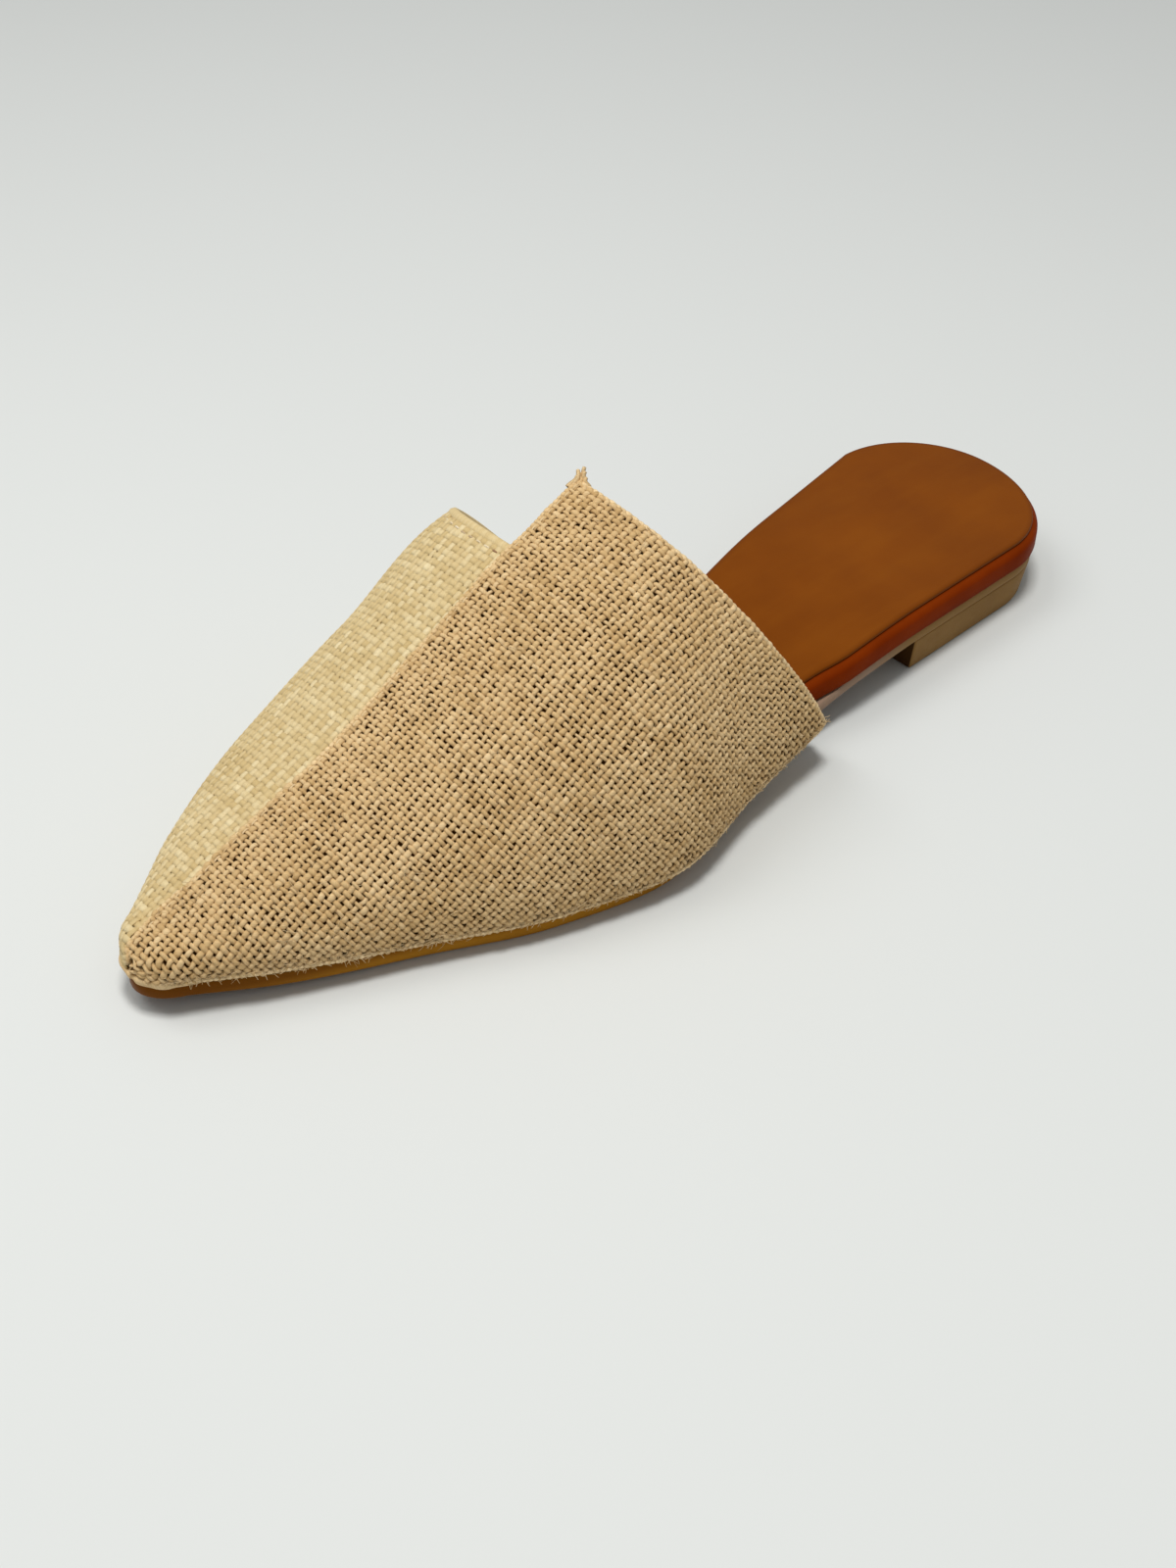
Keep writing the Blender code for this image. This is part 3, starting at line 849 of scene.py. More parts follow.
def heel_material(name, low, high):
    """Satin moulded heel."""
    material, tree, shader = new_material(name)
    where = place_of(tree)
    grain = noise(tree, where, 1300.0, 3.0)
    cloud = noise(tree, where, 60.0, 3.0)
    dress(
        shader, tree,
        Base_Color=mixed(tree, spread(tree, cloud, 0.3, 0.7, 0.0, 1.0), low, high),
        Roughness=spread(tree, grain, 0.3, 0.7, 0.42, 0.6),
        Specular_IOR_Level=0.04,
        Specular_Tint=colour(255, 220, 170),
        Normal=bumped(tree, grain, 0.1, 0.0002),
    )
    return material


def floor_material(low, high):
    """Pale plain studio floor."""
    material, tree, shader = new_material("floor")
    where = place_of(tree)
    cloud = noise(tree, where, 2.2, 2.0)
    ahead = node(tree, "ShaderNodeVectorMath", {"operation": "DOT_PRODUCT"}, {0: where, 1: (0.69, 0.725, 0.0)})
    near = spread(tree, ahead.outputs["Value"], -0.46, 0.04, 0.96, 1.0)
    base = mixed(tree, cloud, low, high)
    base = node(tree, "ShaderNodeVectorMath", {"operation": "SCALE"}, {0: base, "Scale": near}).outputs["Vector"]
    dress(shader, tree, Base_Color=base, Roughness=0.7, Specular_IOR_Level=0.2)
    return material


# Settings


class SoleSettings(bpy.types.PropertyGroup):
    """Sizes of the sole's visible pieces."""

    tread_inset: bpy.props.FloatProperty(
        name="Tread inset", description="How far the tread stands in from the plan", default=0.0006, unit="LENGTH")
    tread_round: bpy.props.FloatProperty(
        name="Tread rounding", description="Rounding of the tread's lower edge", default=0.0009, unit="LENGTH")
    bed_round: bpy.props.FloatProperty(
        name="Footbed rounding", description="Rounding of the footbed's upper edge", default=0.002, unit="LENGTH")
    sock_inset: bpy.props.FloatProperty(
        name="Insole inset", description="How far the insole stands in from the footbed",
        default=0.0015, unit="LENGTH")
    sock_thickness: bpy.props.FloatProperty(
        name="Insole thickness", description="Thickness of the insole", default=0.0008, unit="LENGTH")
    heel_inset: bpy.props.FloatProperty(
        name="Heel inset", description="How far the heel stands in from the plan", default=0.0012, unit="LENGTH")
    heel_taper: bpy.props.FloatProperty(
        name="Heel taper", description="How far the heel draws in towards the floor", default=0.0009, unit="LENGTH")


class ClothSettings(bpy.types.PropertyGroup):
    """Sizes of the two woven panels."""

    jute_along: bpy.props.FloatProperty(
        name="Jute rows", description="Spacing of the threads that run with the lap", default=0.00154, unit="LENGTH")
    jute_across: bpy.props.FloatProperty(
        name="Jute picks", description="Spacing of the threads that cross the lap", default=0.00125, unit="LENGTH")
    straw_along: bpy.props.FloatProperty(
        name="Straw rows", description="Spacing of the close weave's rows", default=0.00145, unit="LENGTH")
    straw_across: bpy.props.FloatProperty(
        name="Straw picks", description="Spacing of the close weave's picks", default=0.0016, unit="LENGTH")
    fold: bpy.props.FloatProperty(
        name="Fold", description="Width of the folded edges", default=0.0012, unit="LENGTH")
    fibres: bpy.props.IntProperty(
        name="Hem fibres", description="Number of loose fibres along the worn hem and over the face", default=1700)
    seed: bpy.props.IntProperty(
        name="Seed", description="Start of the random wander of the threads", default=11)


class StageSettings(bpy.types.PropertyGroup):
    """Camera, floor and light."""

    azimuth: bpy.props.FloatProperty(
        name="Azimuth", description="Direction of the camera from +Y towards +X",
        default=math.radians(43.4885), subtype="ANGLE")
    elevation: bpy.props.FloatProperty(
        name="Elevation", description="Height of the camera above the horizon",
        default=math.radians(40.4309), subtype="ANGLE")
    roll: bpy.props.FloatProperty(
        name="Roll", description="Roll of the camera", default=math.radians(0.9481), subtype="ANGLE")
    distance: bpy.props.FloatProperty(
        name="Distance", description="Distance from the camera to its target", default=0.4807, unit="LENGTH")
    target: bpy.props.FloatVectorProperty(
        name="Target", description="Point on the floor at the middle of the picture, from the heel's back",
        default=(0.1477, 0.00916, 0.0), subtype="XYZ")
    lens: bpy.props.FloatProperty(
        name="Lens", description="Focal length in millimetres for a 36 mm long side", default=49.5)
    key: bpy.props.FloatProperty(
        name="Key light", description="Power of the light from above the camera", default=8.2, unit="POWER")
    fill: bpy.props.FloatProperty(
        name="Fill light", description="Power of the wide light past the toe", default=3.3, unit="POWER")
    ambient: bpy.props.FloatProperty(
        name="Ambient", description="Strength of the light from all round", default=0.36)


# Sole pieces


def plan_sides(end=None, toe_length=TOE_LENGTH, heel_steps=26, body_steps=96, toe_steps=16):
    """The lateral and medial halves of the sole's plan, with matching stations."""
    heel = np.radians(np.linspace(0.0, 90.0, heel_steps + 1))
    heel_x = HEEL_RUN * (1.0 - np.cos(heel))
    stop = TOE_START if end is None else end
    body_x = np.linspace(HEEL_RUN, stop, body_steps + 1)[1:]
    toe = np.radians(np.linspace(TOE_TURN, 90.0, toe_steps + 1))[1:] if end is None else np.zeros(0)
    toe_x = TOE_START + toe_length * toe_reach(toe)
    x = np.concatenate((heel_x, body_x, toe_x))
    sides = []
    for name, sign in (("lateral", 1.0), ("medial", -1.0)):
        rule = PLAN_RULE[name]
        at_toe = sign * rule(TOE_START) - TOE_Y
        heel_y = sign * rule(HEEL_RUN) * np.sin(heel)
        y = np.concatenate((heel_y, sign * rule(body_x), TOE_Y + at_toe * toe_fullness(toe)))
        sides.append(np.stack((x, y), axis=1))
    return sides


def plan_ring(sides, inset=0.0):
    """The plan as one closed loop, out along the lateral side and back along the medial one, moved inwards."""
    loop = np.concatenate((sides[0], sides[1][1:-1][::-1]))
    tangent = np.roll(loop, -1, axis=0) - np.roll(loop, 1, axis=0)
    normal = np.stack((tangent[:, 1], -tangent[:, 0]), axis=1)
    normal /= np.linalg.norm(normal, axis=1)[:, None]
    return loop + normal * np.broadcast_to(inset, len(loop))[:, None]


def spine_ring(ring, share):
    """A ring drawn towards the line half way between its two sides."""
    count = len(ring)
    mate = (count - np.arange(count)) % count
    middle = (ring + ring[mate]) / 2.0
    return middle + (ring - middle) * share


def raised(ring, height, lift=0.0):
    """A ring at the height of a rule of the station."""
    return np.column_stack((ring, height(ring[:, 0]) + lift))


def slab(name, rings):
    """A closed slab through rings of points, welded along its seam and its two spines."""
    rows = np.stack([np.concatenate((ring, ring[:1])) for ring in rings])
    piece = laid_grid(name, rows)
    weld(piece)
    return piece


def bed_inset(ring):
    """Inset of the footbed from the plan: none at the heel, clear of the upper inside the vamp."""
    u = np.clip((ring[:, 0] - BED_INSET_FROM) / (BED_INSET_TO - BED_INSET_FROM), 0.0, 1.0)
    return BED_INSET * u * u * (3.0 - 2.0 * u)


def bed_of(points, below, above):
    """Height of points between two rules of the station, as a share."""
    return (points[:, 2] - below(points[:, 0])) / (above(points[:, 0]) - below(points[:, 0]))


def vertices_of(piece):
    """Points of a piece in millimetres of the last."""
    flat = np.zeros(3 * len(piece.data.vertices))
    piece.data.vertices.foreach_get("co", flat)
    return (flat.reshape(-1, 3) - ORIGIN) / MM


def finish_piece(piece, node_name, *materials):
    """Give a piece its materials, its body and the solid that it stands for."""
    for material in materials:
        piece.data.materials.append(material)
    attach(piece, BODY)
    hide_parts(node_name)


class MULE_OT_outsole(bpy.types.Operator):
    """Build the rubber sole: rounded lower edge, waist lifted to the heel, toe sprung off the floor"""

    bl_idname = "mule.outsole"
    bl_label = "Outsole"

    def execute(self, context):
        settings = context.scene.mule_sole
        sides = plan_sides(toe_length=SOLE_TOE)
        inset = settings.tread_inset / MM
        radius = settings.tread_round / MM
        rings = []
        flat = plan_ring(sides, inset + radius)
        for share in (0.0, 0.4, 0.8):
            rings.append(raised(spine_ring(flat, share), tread_bottom))
        for turn in np.radians((0.0, 22.0, 45.0, 68.0, 90.0)):
            ring = plan_ring(sides, inset + radius * (1.0 - np.sin(turn)))
            rings.append(raised(ring, tread_bottom, radius * (1.0 - np.cos(turn))))
        edge = plan_ring(sides, inset)
        rings.append(raised(edge, tread_top, -0.5))
        top = plan_ring(sides, inset + 0.25)
        rings.append(raised(top, tread_top, -0.08))
        for share in (0.95, 0.5, 0.0):
            rings.append(raised(spine_ring(top, share), tread_top))
        piece = slab("outsole_rubber", rings)
        smooth(piece)
        finish_piece(piece, "outsole", outsole_material())
        return {"FINISHED"}


class MULE_OT_heel_block(bpy.types.Operator):
    """Build the low heel by extruding its plan, drawing it in towards the floor and rounding its edges"""

    bl_idname = "mule.heel_block"
    bl_label = "Heel block"

    def execute(self, context):
        settings = context.scene.mule_sole
        inset = (settings.heel_inset + settings.heel_taper) / MM
        sides = plan_sides(BREAST, body_steps=24)
        lateral, medial = sides
        loop = np.concatenate((lateral, medial[1:][::-1]))
        tangent = np.roll(loop, -1, axis=0) - np.roll(loop, 1, axis=0)
        corner = np.isclose(loop[:, 0], BREAST)
        tangent[corner] = np.where(loop[corner][:, 1:] > 0.0, 1.0, -1.0) * np.array((1.0, 0.0))
        normal = np.stack((tangent[:, 1], -tangent[:, 0]), axis=1)
        normal /= np.linalg.norm(normal, axis=1)[:, None]
        foot = loop + normal * inset
        top = PROFILE_RULE["lift"](0.0) - GAP
        deselect()
        bpy.ops.mesh.primitive_circle_add(vertices=len(foot), radius=0.03, fill_type="NGON")
        piece = bpy.context.active_object
        piece.name = "heel_rubber"
        piece.data.name = "heel_rubber"
        ring = place(np.column_stack((foot, np.zeros(len(foot)))))
        piece.data.vertices.foreach_set("co", ring.ravel())
        middle = ring.mean(axis=0)
        grow = 1.0 + 2.0 * settings.heel_taper / (ring[:, 1].max() - ring[:, 1].min())
        bpy.ops.object.mode_set(mode="EDIT")
        bpy.ops.mesh.select_all(action="SELECT")
        bpy.ops.mesh.extrude_region_move(TRANSFORM_OT_translate={"value": (0.0, 0.0, top * MM)})
        breast = tuple(ORIGIN + np.array((BREAST * MM, middle[1] - ORIGIN[1], top * MM)))
        bpy.ops.transform.resize(value=(grow, grow, 1.0), center_override=breast)
        bpy.ops.mesh.select_all(action="SELECT")
        bpy.ops.mesh.normals_make_consistent(inside=False)
        bpy.ops.mesh.select_all(action="DESELECT")
        bpy.ops.mesh.edges_select_sharp(sharpness=math.radians(40.0))
        bpy.ops.mesh.bevel(offset=0.0006, segments=3, affect="EDGES")
        bpy.ops.object.mode_set(mode="OBJECT")
        smooth(piece, 35.0)
        finish_piece(
            piece, "heel_block",
            heel_material("heel_khaki", colour(132, 99, 56), colour(148, 113, 66)),
            heel_material("heel_breast", colour(64, 40, 18), colour(84, 56, 28)),
        )
        for face in piece.data.polygons:
            if face.normal.x > 0.7:
                face.material_index = 1
        return {"FINISHED"}


class MULE_OT_footbed(bpy.types.Operator):
    """Build the wrapped footbed with its rounded, burnished edge"""

    bl_idname = "mule.footbed"
    bl_label = "Footbed"

    def execute(self, context):
        radius = context.scene.mule_sole.bed_round / MM
        sides = plan_sides()
        inset = bed_inset(plan_ring(sides))
        under = plan_ring(sides, inset + 0.7)
        rings = [raised(spine_ring(under, share), bed_bottom) for share in (0.0, 0.5, 1.0)]
        for turn in np.radians((30.0, 60.0, 90.0)):
            ring = plan_ring(sides, inset + 0.7 * (1.0 - np.sin(turn)))
            rings.append(raised(ring, bed_bottom, 0.7 * (1.0 - np.cos(turn))))
        for turn in np.radians(np.linspace(0.0, 90.0, 8)):
            ring = plan_ring(sides, inset + radius * (1.0 - np.cos(turn)))
            rings.append(raised(ring, bed_top, -radius * (1.0 - np.sin(turn))))
        top = plan_ring(sides, inset + radius)
        for share in (0.9, 0.6, 0.3, 0.0):
            rings.append(raised(spine_ring(top, share), bed_top))
        piece = slab("footbed_wrap", rings)
        points = vertices_of(piece)
        point_attribute(piece, "level", np.clip(bed_of(points, bed_bottom, bed_top), 0.0, 1.0))
        smooth(piece)
        finish_piece(piece, "footbed", footbed_material())
        return {"FINISHED"}


class MULE_OT_insole(bpy.types.Operator):
    """Build the thin sock with its rounded edge"""

    bl_idname = "mule.insole"
    bl_label = "Insole"

    def execute(self, context):
        settings = context.scene.mule_sole
        thickness = settings.sock_thickness / MM
        sides = plan_sides()
        inset = bed_inset(plan_ring(sides)) + settings.sock_inset / MM
        low = GAP
        high = GAP + thickness
        under = plan_ring(sides, inset)
        rings = [raised(spine_ring(under, share), bed_top, low) for share in (0.0, 0.5, 1.0)]
        edges = [0.0] * len(rings)
        steps = ((0.0, high - 0.45), (0.07, high - 0.22), (0.22, high - 0.07), (0.45, high), (1.2, high + 0.02),
                 (2.8, high + 0.02), (4.5, high + 0.02))
        for distance, height in steps:
            rings.append(raised(plan_ring(sides, inset + distance), bed_top, height))
            edges.append(distance)
        inner = plan_ring(sides, inset + 4.5)
        for share in (0.85, 0.65, 0.45, 0.22, 0.0):
            rings.append(raised(spine_ring(inner, share), bed_top, high + 0.02))
            edges.append(4.5 + 20.0 * (1.0 - share))
        rows = np.stack([np.concatenate((ring, ring[:1])) for ring in rings])
        piece = laid_grid("insole_sock", rows)
        point_attribute(piece, "edge", np.repeat(edges, rows.shape[1]))
        weld(piece)
        smooth(piece)
        finish_piece(piece, "insole", insole_material())
        return {"FINISHED"}


# Upper


def shell_points(rows_back, rows_front, nose_rows, turns):
    """Grid of points on the upper's outside, collar to toe."""
    columns = []
    for turn in turns:
        lateral = turn < SHELL_STEP
        start = collar_station(turn, COLLAR_LATERAL if lateral else COLLAR_MEDIAL)
        start += COLLAR_SETBACK if lateral else 0.0
        back = np.linspace(start, SHARED_STATION, rows_back + 1)[:-1]
        front = np.linspace(SHARED_STATION, TOE_START, rows_front + 1)
        nose = np.linspace(TOE_TURN, 89.7, nose_rows + 1)[1:]
        stations = np.concatenate((back, front, np.full(nose_rows, TOE_START)))
        noses = np.concatenate((np.full(rows_back + rows_front + 1, TOE_TURN), nose))
        columns.append(vamp(turn, stations, noses))
    return np.stack(columns, axis=1)


def medial_inside(turn, run, slack):
    """Where the close weave shows: medial side, from under the lap to the feather line."""
    past_lap = turn > lap_turn(run) - 1.5 - 14.0 * ramp((run - 250.0) / 8.0)
    above_hem = turn < 200.0 + slack
    ahead = run - collar_station(turn, COLLAR_MEDIAL) > 1.6
    return past_lap & above_hem & ahead & (run < CLOTH_END)


def lateral_inside(fold):
    """Where the open weave shows: lateral side, between its folded edges and its worn hem."""

    def inside(turn, run, slack):
        lap = lap_turn(run)
        below_lap = turn < arc_shift(lap, run, 0.45 * fold)
        above_hem = turn > hem_turn(run) + 1.4 * slack
        ahead = run - collar_station(turn, COLLAR_LATERAL) > 0.5 * fold
        return below_lap & above_hem & ahead & (run < CLOTH_END)

    return inside


class MULE_OT_upper(bpy.types.Operator):
    """Build the hollow upper: its lined shell, the close straw weave of the medial side and its bound collar"""

    bl_idname = "mule.upper"
    bl_label = "Upper"

    def execute(self, context):
        settings = context.scene.mule_cloth
        turns = np.concatenate((
            np.linspace(-TUCK_TURN, 0.0, 7)[:-1],
            np.linspace(0.0, SHELL_STEP - 0.2, 40),
            np.linspace(SHELL_STEP + 0.2, 180.0, 46),
            np.linspace(180.0, 180.0 + TUCK_TURN, 7)[1:],
        ))
        points = shell_points(30, 56, 14, turns)
        shell = laid_grid("upper_shell", points)
        medial = np.tile((turns > SHELL_STEP).astype(float), (points.shape[0], 1))
        medial[-7:] = 0.92
        point_attribute(shell, "medial", medial.ravel())
        bpy.ops.object.mode_set(mode="EDIT")
        bpy.ops.mesh.select_all(action="SELECT")
        bpy.ops.mesh.normals_make_consistent(inside=False)
        bpy.ops.object.mode_set(mode="OBJECT")
        crest = max(shell.data.polygons, key=lambda face: face.center.z)
        if crest.normal.z < 0.0:
            shell.data.flip_normals()
        finish_piece(shell, "upper", backing_material(), lining_material())
        apply_modifier(
            shell, "SOLIDIFY", thickness=UPPER_WALL * MM, offset=-1.0, use_even_offset=True,
            use_quality_normals=True, material_offset=1, material_offset_rim=1)
        smooth(shell)
        straw = thread_material(
            "straw_thread", colour(182, 152, 94), colour(211, 186, 134), colour(236, 218, 174), 0.4, 0.15, 0.3)
        cloth = Cloth(
            settings.straw_along / MM, settings.straw_across / MM, fill=1.04, draw=2.0, thick=0.22, lift=0.20, pad=0.7,
            wave=0.09, wobble=0.06, swell=0.1, tone=0.17, reach=(4.0, 92.0), seed=settings.seed)
        rows = tubes("straw_rows", cloth.threads(medial_inside, True))
        picks = tubes("straw_picks", cloth.threads(medial_inside, False))
        turn = np.linspace(84.0, 204.0, 220)
        x = collar_station(turn, COLLAR_MEDIAL)
        binding = [strip(turn, x + 0.9, -0.35, 1.25, 1.05, 0.62 + 0.1 * np.sin(turn * 3.1))]
        edge = tubes("collar_binding", binding, sides=8)
        for piece in (rows, picks, edge):
            finish_piece(piece, "upper", straw)
        stitch = thread_material(
            "stitch_thread", colour(150, 112, 78), colour(226, 206, 166), colour(244, 230, 198), 0.3, 0.1, 0.3)
        random = np.random.default_rng(settings.seed + 3)
        line = on_last(turn, x + 2.9)
        length = np.concatenate(([0.0], np.cumsum(np.linalg.norm(np.diff(line, axis=0), axis=1))))
        stitches = []
        for middle in np.arange(1.5, length[-1] - 1.5, 2.5):
            span = np.linspace(middle - 0.8, middle + 0.8, 7)
            at = np.interp(span, length, turn)
            rise = 0.42 - 0.45 * np.linspace(-1.0, 1.0, 7) ** 4
            station = collar_station(at, COLLAR_MEDIAL) + 2.9 + random.normal(0.0, 0.06)
            stitches.append(strip(at, station, rise, 0.22, 0.2, 0.5 + random.normal(0.0, 0.25)))
        row = tubes("collar_stitches", stitches, sides=6)
        finish_piece(row, "upper", stitch)
        return {"FINISHED"}


def rim_turn(run):
    """Turn of the worn edge over which the open weave's hem is folded under."""
    back = ramp((170.0 - run) / 28.0)
    return (hem_turn(run) + 2.6) * (1.0 - back) - 4.0 * back


def beaded(random, turn, x, lift, half, pitch, tone):
    """The roll of a folded edge, with the threads that turn over it."""
    made = strip(turn, x, lift, half, 0.75, tone)
    steps = np.linalg.norm(np.diff(made["points"], axis=0), axis=1)
    length = np.concatenate(([0.0], np.cumsum(steps)))
    bead = np.cos(2.0 * math.pi * (length + drift(random, len(x), 40, 0.2)) / pitch)
    made["points"] = made["points"] + made["normals"] * (0.09 * bead + drift(random, len(x), 70, 0.07))[:, None]
    made["width"] = half * (1.0 + 0.08 * bead + drift(random, len(x), 60, 0.08))
    made["tone"] = tone + 0.16 * bead + drift(random, len(x), 90, 0.12)
    return made


def toe_gather(random):
    """The smooth gathered fold along the hem round the tip of the toe."""
    run = np.concatenate((np.linspace(243.0, 264.4, 50), np.linspace(264.4, 258.0, 16)[1:]))
    fall = 11.0 + 8.0 * ramp((run - 246.0) / 12.0)
    turn = np.where(np.arange(len(run)) < 50, -fall, 180.0 + fall)
    points = on_last(turn, run)
    points[1:-1] = (points[:-2] + 2.0 * points[1:-1] + points[2:]) / 4.0
    outward = np.cross(np.gradient(points, axis=0), (0.0, 0.0, 1.0))
    outward *= np.sign(outward[25, 1])
    outward /= np.linalg.norm(outward, axis=1)[:, None]
    rise = np.clip(np.arange(len(run)) / 20.0, 0.0, 1.0)
    pleat = drift(random, len(run), 22, 0.14)
    return {
        "points": points + outward * (0.35 + 0.25 * rise + pleat)[:, None],
        "normals": outward,
        "width": (0.45 + 0.5 * rise) * (1.0 + pleat),
        "thick": 0.3 + 0.35 * rise,
        "tone": 0.72 + 0.8 * pleat,
    }


def seam_stitches(random, x, line, pitch):
    """Pale stitches along a line of turns on the upper."""
    points = on_last(line(x), x)
    length = np.concatenate(([0.0], np.cumsum(np.linalg.norm(np.diff(points, axis=0), axis=1))))
    made = []
    for middle in np.arange(2.0, length[-1] - 6.0, pitch):
        at = np.interp(np.linspace(middle - 0.36 * pitch, middle + 0.36 * pitch, 7), length, x)
        rise = 1.42 - 0.5 * np.linspace(-1.0, 1.0, 7) ** 4
        made.append(strip(line(at), at + random.normal(0.0, 0.05), rise, 0.2, 0.18, 0.85 + random.normal(0.0, 0.2)))
    return made


def hem_fibres(random, count):
    """Loose fibres along the worn hem of the open weave, and a few over its face."""
    runs = []
    for index in range(count):
        at_hem = index < 0.62 * count
        x = random.uniform(103.0, 257.0) if at_hem else random.uniform(135.0, 250.0)
        turn = rim_turn(x) + abs(random.normal(0.0, 3.0)) if at_hem else random.uniform(-8.0, 80.0)
        if x < collar_station(turn, COLLAR_LATERAL):
            continue
        start = on_last(turn, x)
        normal = normals(turn, x)
        along = on_last(turn, x + 0.5) - on_last(turn, x - 0.5)
        along /= np.linalg.norm(along)
        around = np.cross(normal, along)
        heading = random.normal(0.0, 0.6) if at_hem else random.uniform(-math.pi, math.pi)
        heading += math.pi * random.integers(0, 2)
        length = random.uniform(0.8, 2.6) if at_hem else random.uniform(1.6, 5.0)
        bend = random.normal(0.0, 0.5)
        u = np.linspace(0.0, 1.0, 6)
        turned = heading + bend * u
        step = (np.cos(turned)[:, None] * along + np.sin(turned)[:, None] * around) * (length / 6.0)
        rise = 0.9 + random.uniform(0.0, 0.6) + random.uniform(-0.2, 0.9) * u * (1.0 - 0.5 * u)
        points = start + np.cumsum(step, axis=0) + normal * rise[:, None]
        width = (random.uniform(0.07, 0.14) if at_hem else random.uniform(0.04, 0.08)) * (1.0 - 0.5 * u)
        runs.append({
            "points": points, "normals": np.broadcast_to(normal, points.shape), "width": width, "thick": width,
            "tone": np.full(6, 0.85 + random.normal(0.0, 0.2)),
        })
    return runs


class MULE_OT_crossover_panel(bpy.types.Operator):
    """Build the open jute weave of the lateral side, its folded edges, its worn hem and the tuft at its corner"""

    bl_idname = "mule.crossover_panel"
    bl_label = "Crossover panel"

    def execute(self, context):
        settings = context.scene.mule_cloth
        fold = settings.fold / MM
        jute = thread_material(
            "jute_thread", colour(138, 98, 38), colour(216, 181, 127), colour(246, 218, 170), 0.45, 0.12, 0.75)
        cloth = Cloth(
            settings.jute_along / MM, settings.jute_across / MM, fill=0.76, draw=1.0, thick=0.38, lift=0.88, pad=-0.25,
            wave=0.35, wobble=0.13, swell=0.17, tone=0.09, reach=(112.0, 46.0), seed=settings.seed + 1)
        inside = lateral_inside(fold)
        rows = tubes("jute_rows", cloth.threads(inside, True))
        picks = tubes("jute_picks", cloth.threads(inside, False))
        random = np.random.default_rng(settings.seed + 7)
        x = np.concatenate((
            np.linspace(COLLAR_LATERAL["sole"] + COLLAR_LATERAL["run"], TOE_START, 620),
            TOE_START + TOE_SPAN * np.linspace(0.0, 0.95, 90)[1:],
        ))
        half, across, along = fold / 2.0, settings.jute_across / MM, settings.jute_along / MM
        folds = [beaded(random, arc_shift(lap_turn(x), x, half), x, 0.55, half, across, 0.62)]
        turn = np.linspace(hem_turn(100.0), LAP[0][1], 420)
        station = collar_station(turn, COLLAR_LATERAL) + half
        folds.append(beaded(random, turn, station, 0.55, half, along, 0.8))
        at = np.linspace(106.0, 252.0, 700)
        folds.append(beaded(random, rim_turn(at), at, 0.8, 0.95 * half, across, 0.88))
        folds.append(toe_gather(random))
        edges = tubes("jute_folds", folds, sides=8)
        seams = seam_stitches(random, x, lambda at: arc_shift(lap_turn(at), at, 1.5), 2.6)
        runs = hem_fibres(random, settings.fibres)
        peak_x = COLLAR_LATERAL["sole"] + COLLAR_LATERAL["run"]
        base = on_last(LAP[0][1] - 1.0, peak_x + 0.6) + normals(LAP[0][1] - 1.0, peak_x + 0.6) * 0.8
        aim = np.array((-0.563, -0.347, 0.746))
        sideways = np.array((-0.725, 0.688, 0.0))
        facing = np.cross(sideways, aim)
        u = np.linspace(0.0, 1.0, 12)
        for foot, tip, height, tone in TUFT:
            points = base + sideways * (foot + (tip - foot) * u + 0.3 * np.sin(5.0 * u + foot))[:, None]
            points = points + aim * (height * u - 0.9)[:, None]
            points = points + facing * (0.35 * np.cos(4.0 * u + 2.0 * foot))[:, None]
            width = 0.66 * (1.0 - 0.4 * u)
            runs.append({
                "points": points, "normals": np.broadcast_to(facing, points.shape), "width": width, "thick": width,
                "tone": np.full(12, tone),
            })
        fibres = tubes("jute_fibres", runs, sides=4)
        stitches = tubes("lap_stitches", seams)
        for piece in (rows, picks, edges, fibres, stitches):
            finish_piece(piece, "crossover_panel", jute)
        return {"FINISHED"}


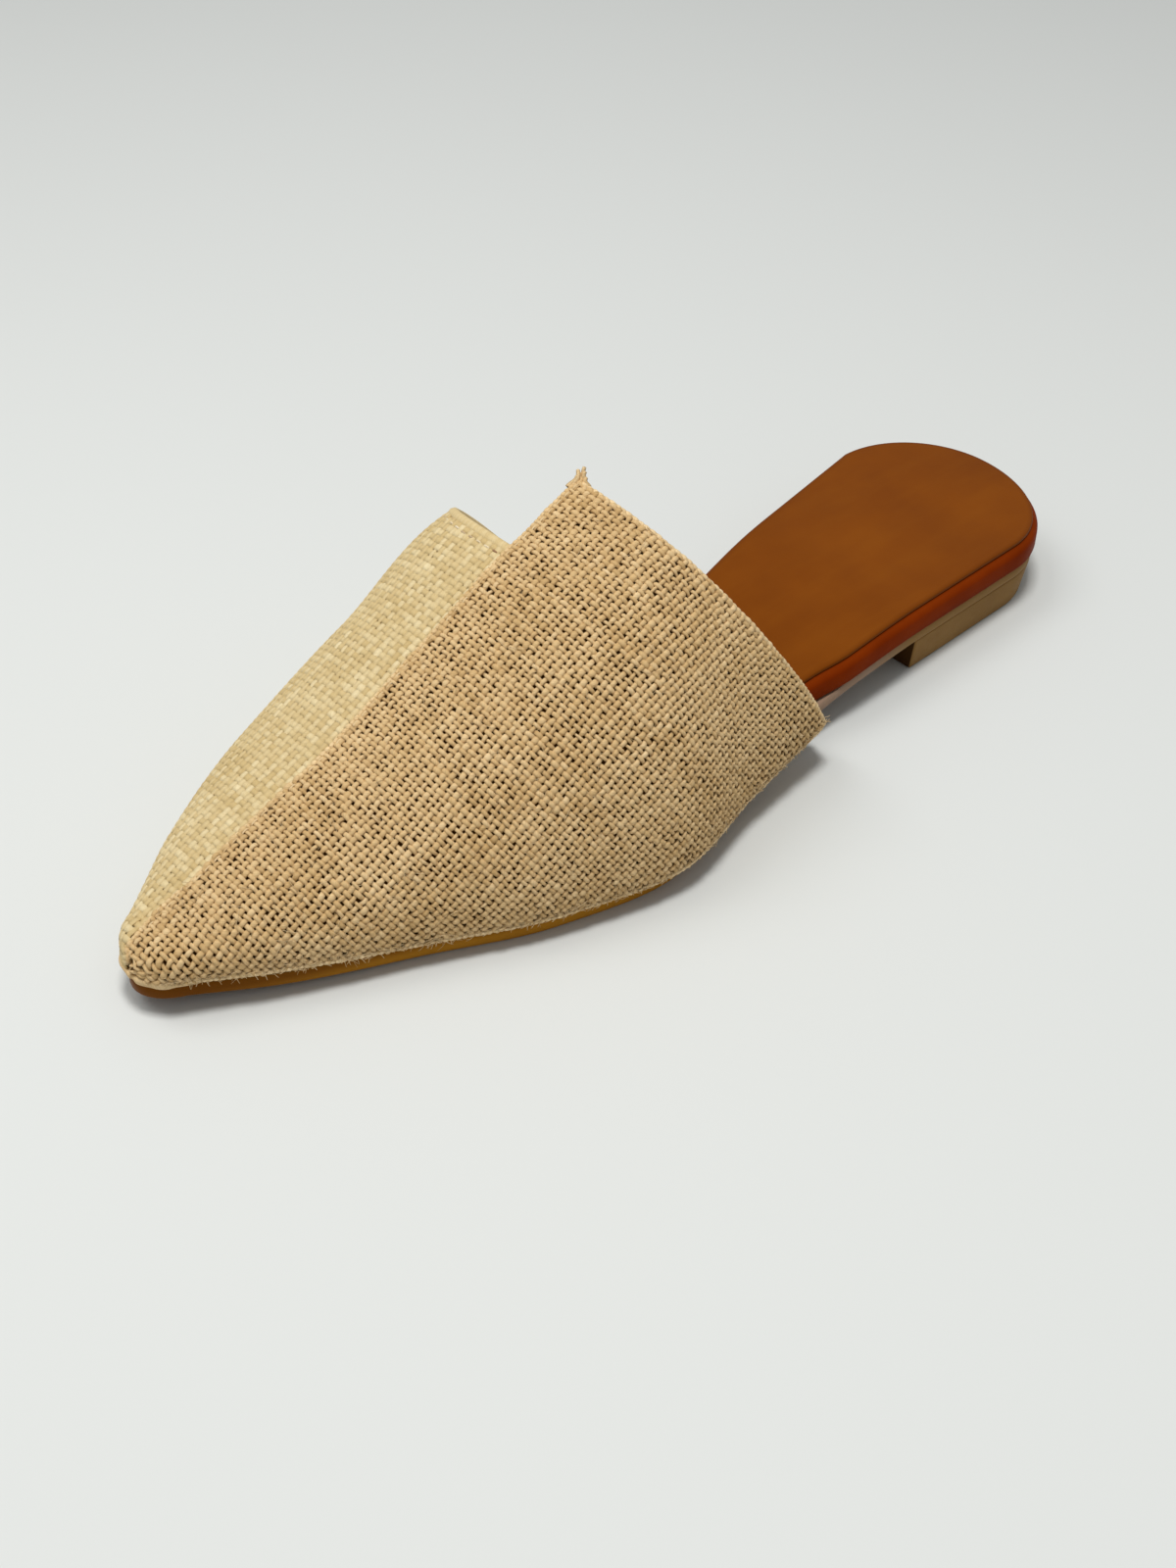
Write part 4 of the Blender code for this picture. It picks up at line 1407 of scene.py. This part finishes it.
class MULE_OT_stage(bpy.types.Operator):
    """Set the pale floor, the soft light and the camera"""

    bl_idname = "mule.stage"
    bl_label = "Stage"

    def execute(self, context):
        settings = context.scene.mule_stage
        deselect()
        bpy.ops.mesh.primitive_plane_add(size=8.0, location=(0.0, 0.0, 0.0))
        floor = context.active_object
        floor.name = "floor"
        floor.data.materials.append(floor_material((0.645, 0.655, 0.63, 1.0), (0.675, 0.685, 0.66, 1.0)))
        world = bpy.data.worlds.new("studio")
        world.use_nodes = True
        background = world.node_tree.nodes["Background"]
        background.inputs["Color"].default_value = (0.95, 0.98, 1.0, 1.0)
        background.inputs["Strength"].default_value = settings.ambient
        context.scene.world = world
        lights = (
            ("key", settings.key, 0.26, (0.13, 0.1, 1.11)),
            ("fill", settings.fill, 0.6, (0.36, -0.42, 1.0)),
        )
        for name, power, size, spot in lights:
            light = bpy.data.lights.new(name, "AREA")
            light.energy = power
            light.size = size
            lamp = bpy.data.objects.new(name, light)
            lamp.location = spot
            lamp.rotation_euler = (-Vector(spot)).to_track_quat("-Z", "Y").to_euler()
            context.scene.collection.objects.link(lamp)
        azimuth, elevation, roll = settings.azimuth, settings.elevation, settings.roll
        back = Vector((
            math.sin(azimuth) * math.cos(elevation), math.cos(azimuth) * math.cos(elevation), math.sin(elevation)))
        right = Vector((0.0, 0.0, 1.0)).cross(back).normalized()
        up = back.cross(right)
        tilted = math.cos(roll) * right + math.sin(roll) * up
        upright = math.cos(roll) * up - math.sin(roll) * right
        camera = bpy.data.objects.new("camera", bpy.data.cameras.new("camera"))
        camera.data.lens = settings.lens
        camera.data.sensor_width = 36.0
        camera.data.dof.use_dof = False
        spot = Vector(settings.target) + Vector(ORIGIN) + back * settings.distance
        turned = Matrix((tilted, upright, back)).transposed().to_4x4()
        camera.matrix_world = Matrix.Translation(spot) @ turned
        context.scene.collection.objects.link(camera)
        context.scene.camera = camera
        context.scene.view_settings.view_transform = "Standard"
        return {"FINISHED"}


BUILDERS = (
    MULE_OT_outsole,
    MULE_OT_heel_block,
    MULE_OT_footbed,
    MULE_OT_insole,
    MULE_OT_upper,
    MULE_OT_crossover_panel,
    MULE_OT_stage,
)


class MULE_PT_builders(bpy.types.Panel):
    """Buttons for each group of pieces and for the stage"""

    bl_idname = "MULE_PT_builders"
    bl_label = "Flat mule"
    bl_space_type = "VIEW_3D"
    bl_region_type = "UI"
    bl_category = "Mule"

    def draw(self, context):
        for builder in BUILDERS:
            self.layout.operator(builder.bl_idname)


SETTINGS = (("mule_sole", SoleSettings), ("mule_cloth", ClothSettings), ("mule_stage", StageSettings))


def register():
    """Register the settings, the operators and the panel."""
    for name, group in SETTINGS:
        bpy.utils.register_class(group)
        setattr(bpy.types.Scene, name, bpy.props.PointerProperty(type=group))
    for item in (*BUILDERS, MULE_PT_builders):
        bpy.utils.register_class(item)


def unregister():
    """Take all of it out again."""
    for item in reversed((*BUILDERS, MULE_PT_builders)):
        bpy.utils.unregister_class(item)
    for name, group in reversed(SETTINGS):
        delattr(bpy.types.Scene, name)
        bpy.utils.unregister_class(group)


def main():
    """Build every piece and note the sizes of the solids and of the visible model."""
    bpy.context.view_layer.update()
    register()
    bpy.ops.mule.outsole()
    bpy.ops.mule.heel_block()
    bpy.ops.mule.footbed()
    bpy.ops.mule.insole()
    bpy.ops.mule.upper()
    bpy.ops.mule.crossover_panel()
    bpy.ops.mule.stage()


if __name__ == "__main__":
    main()
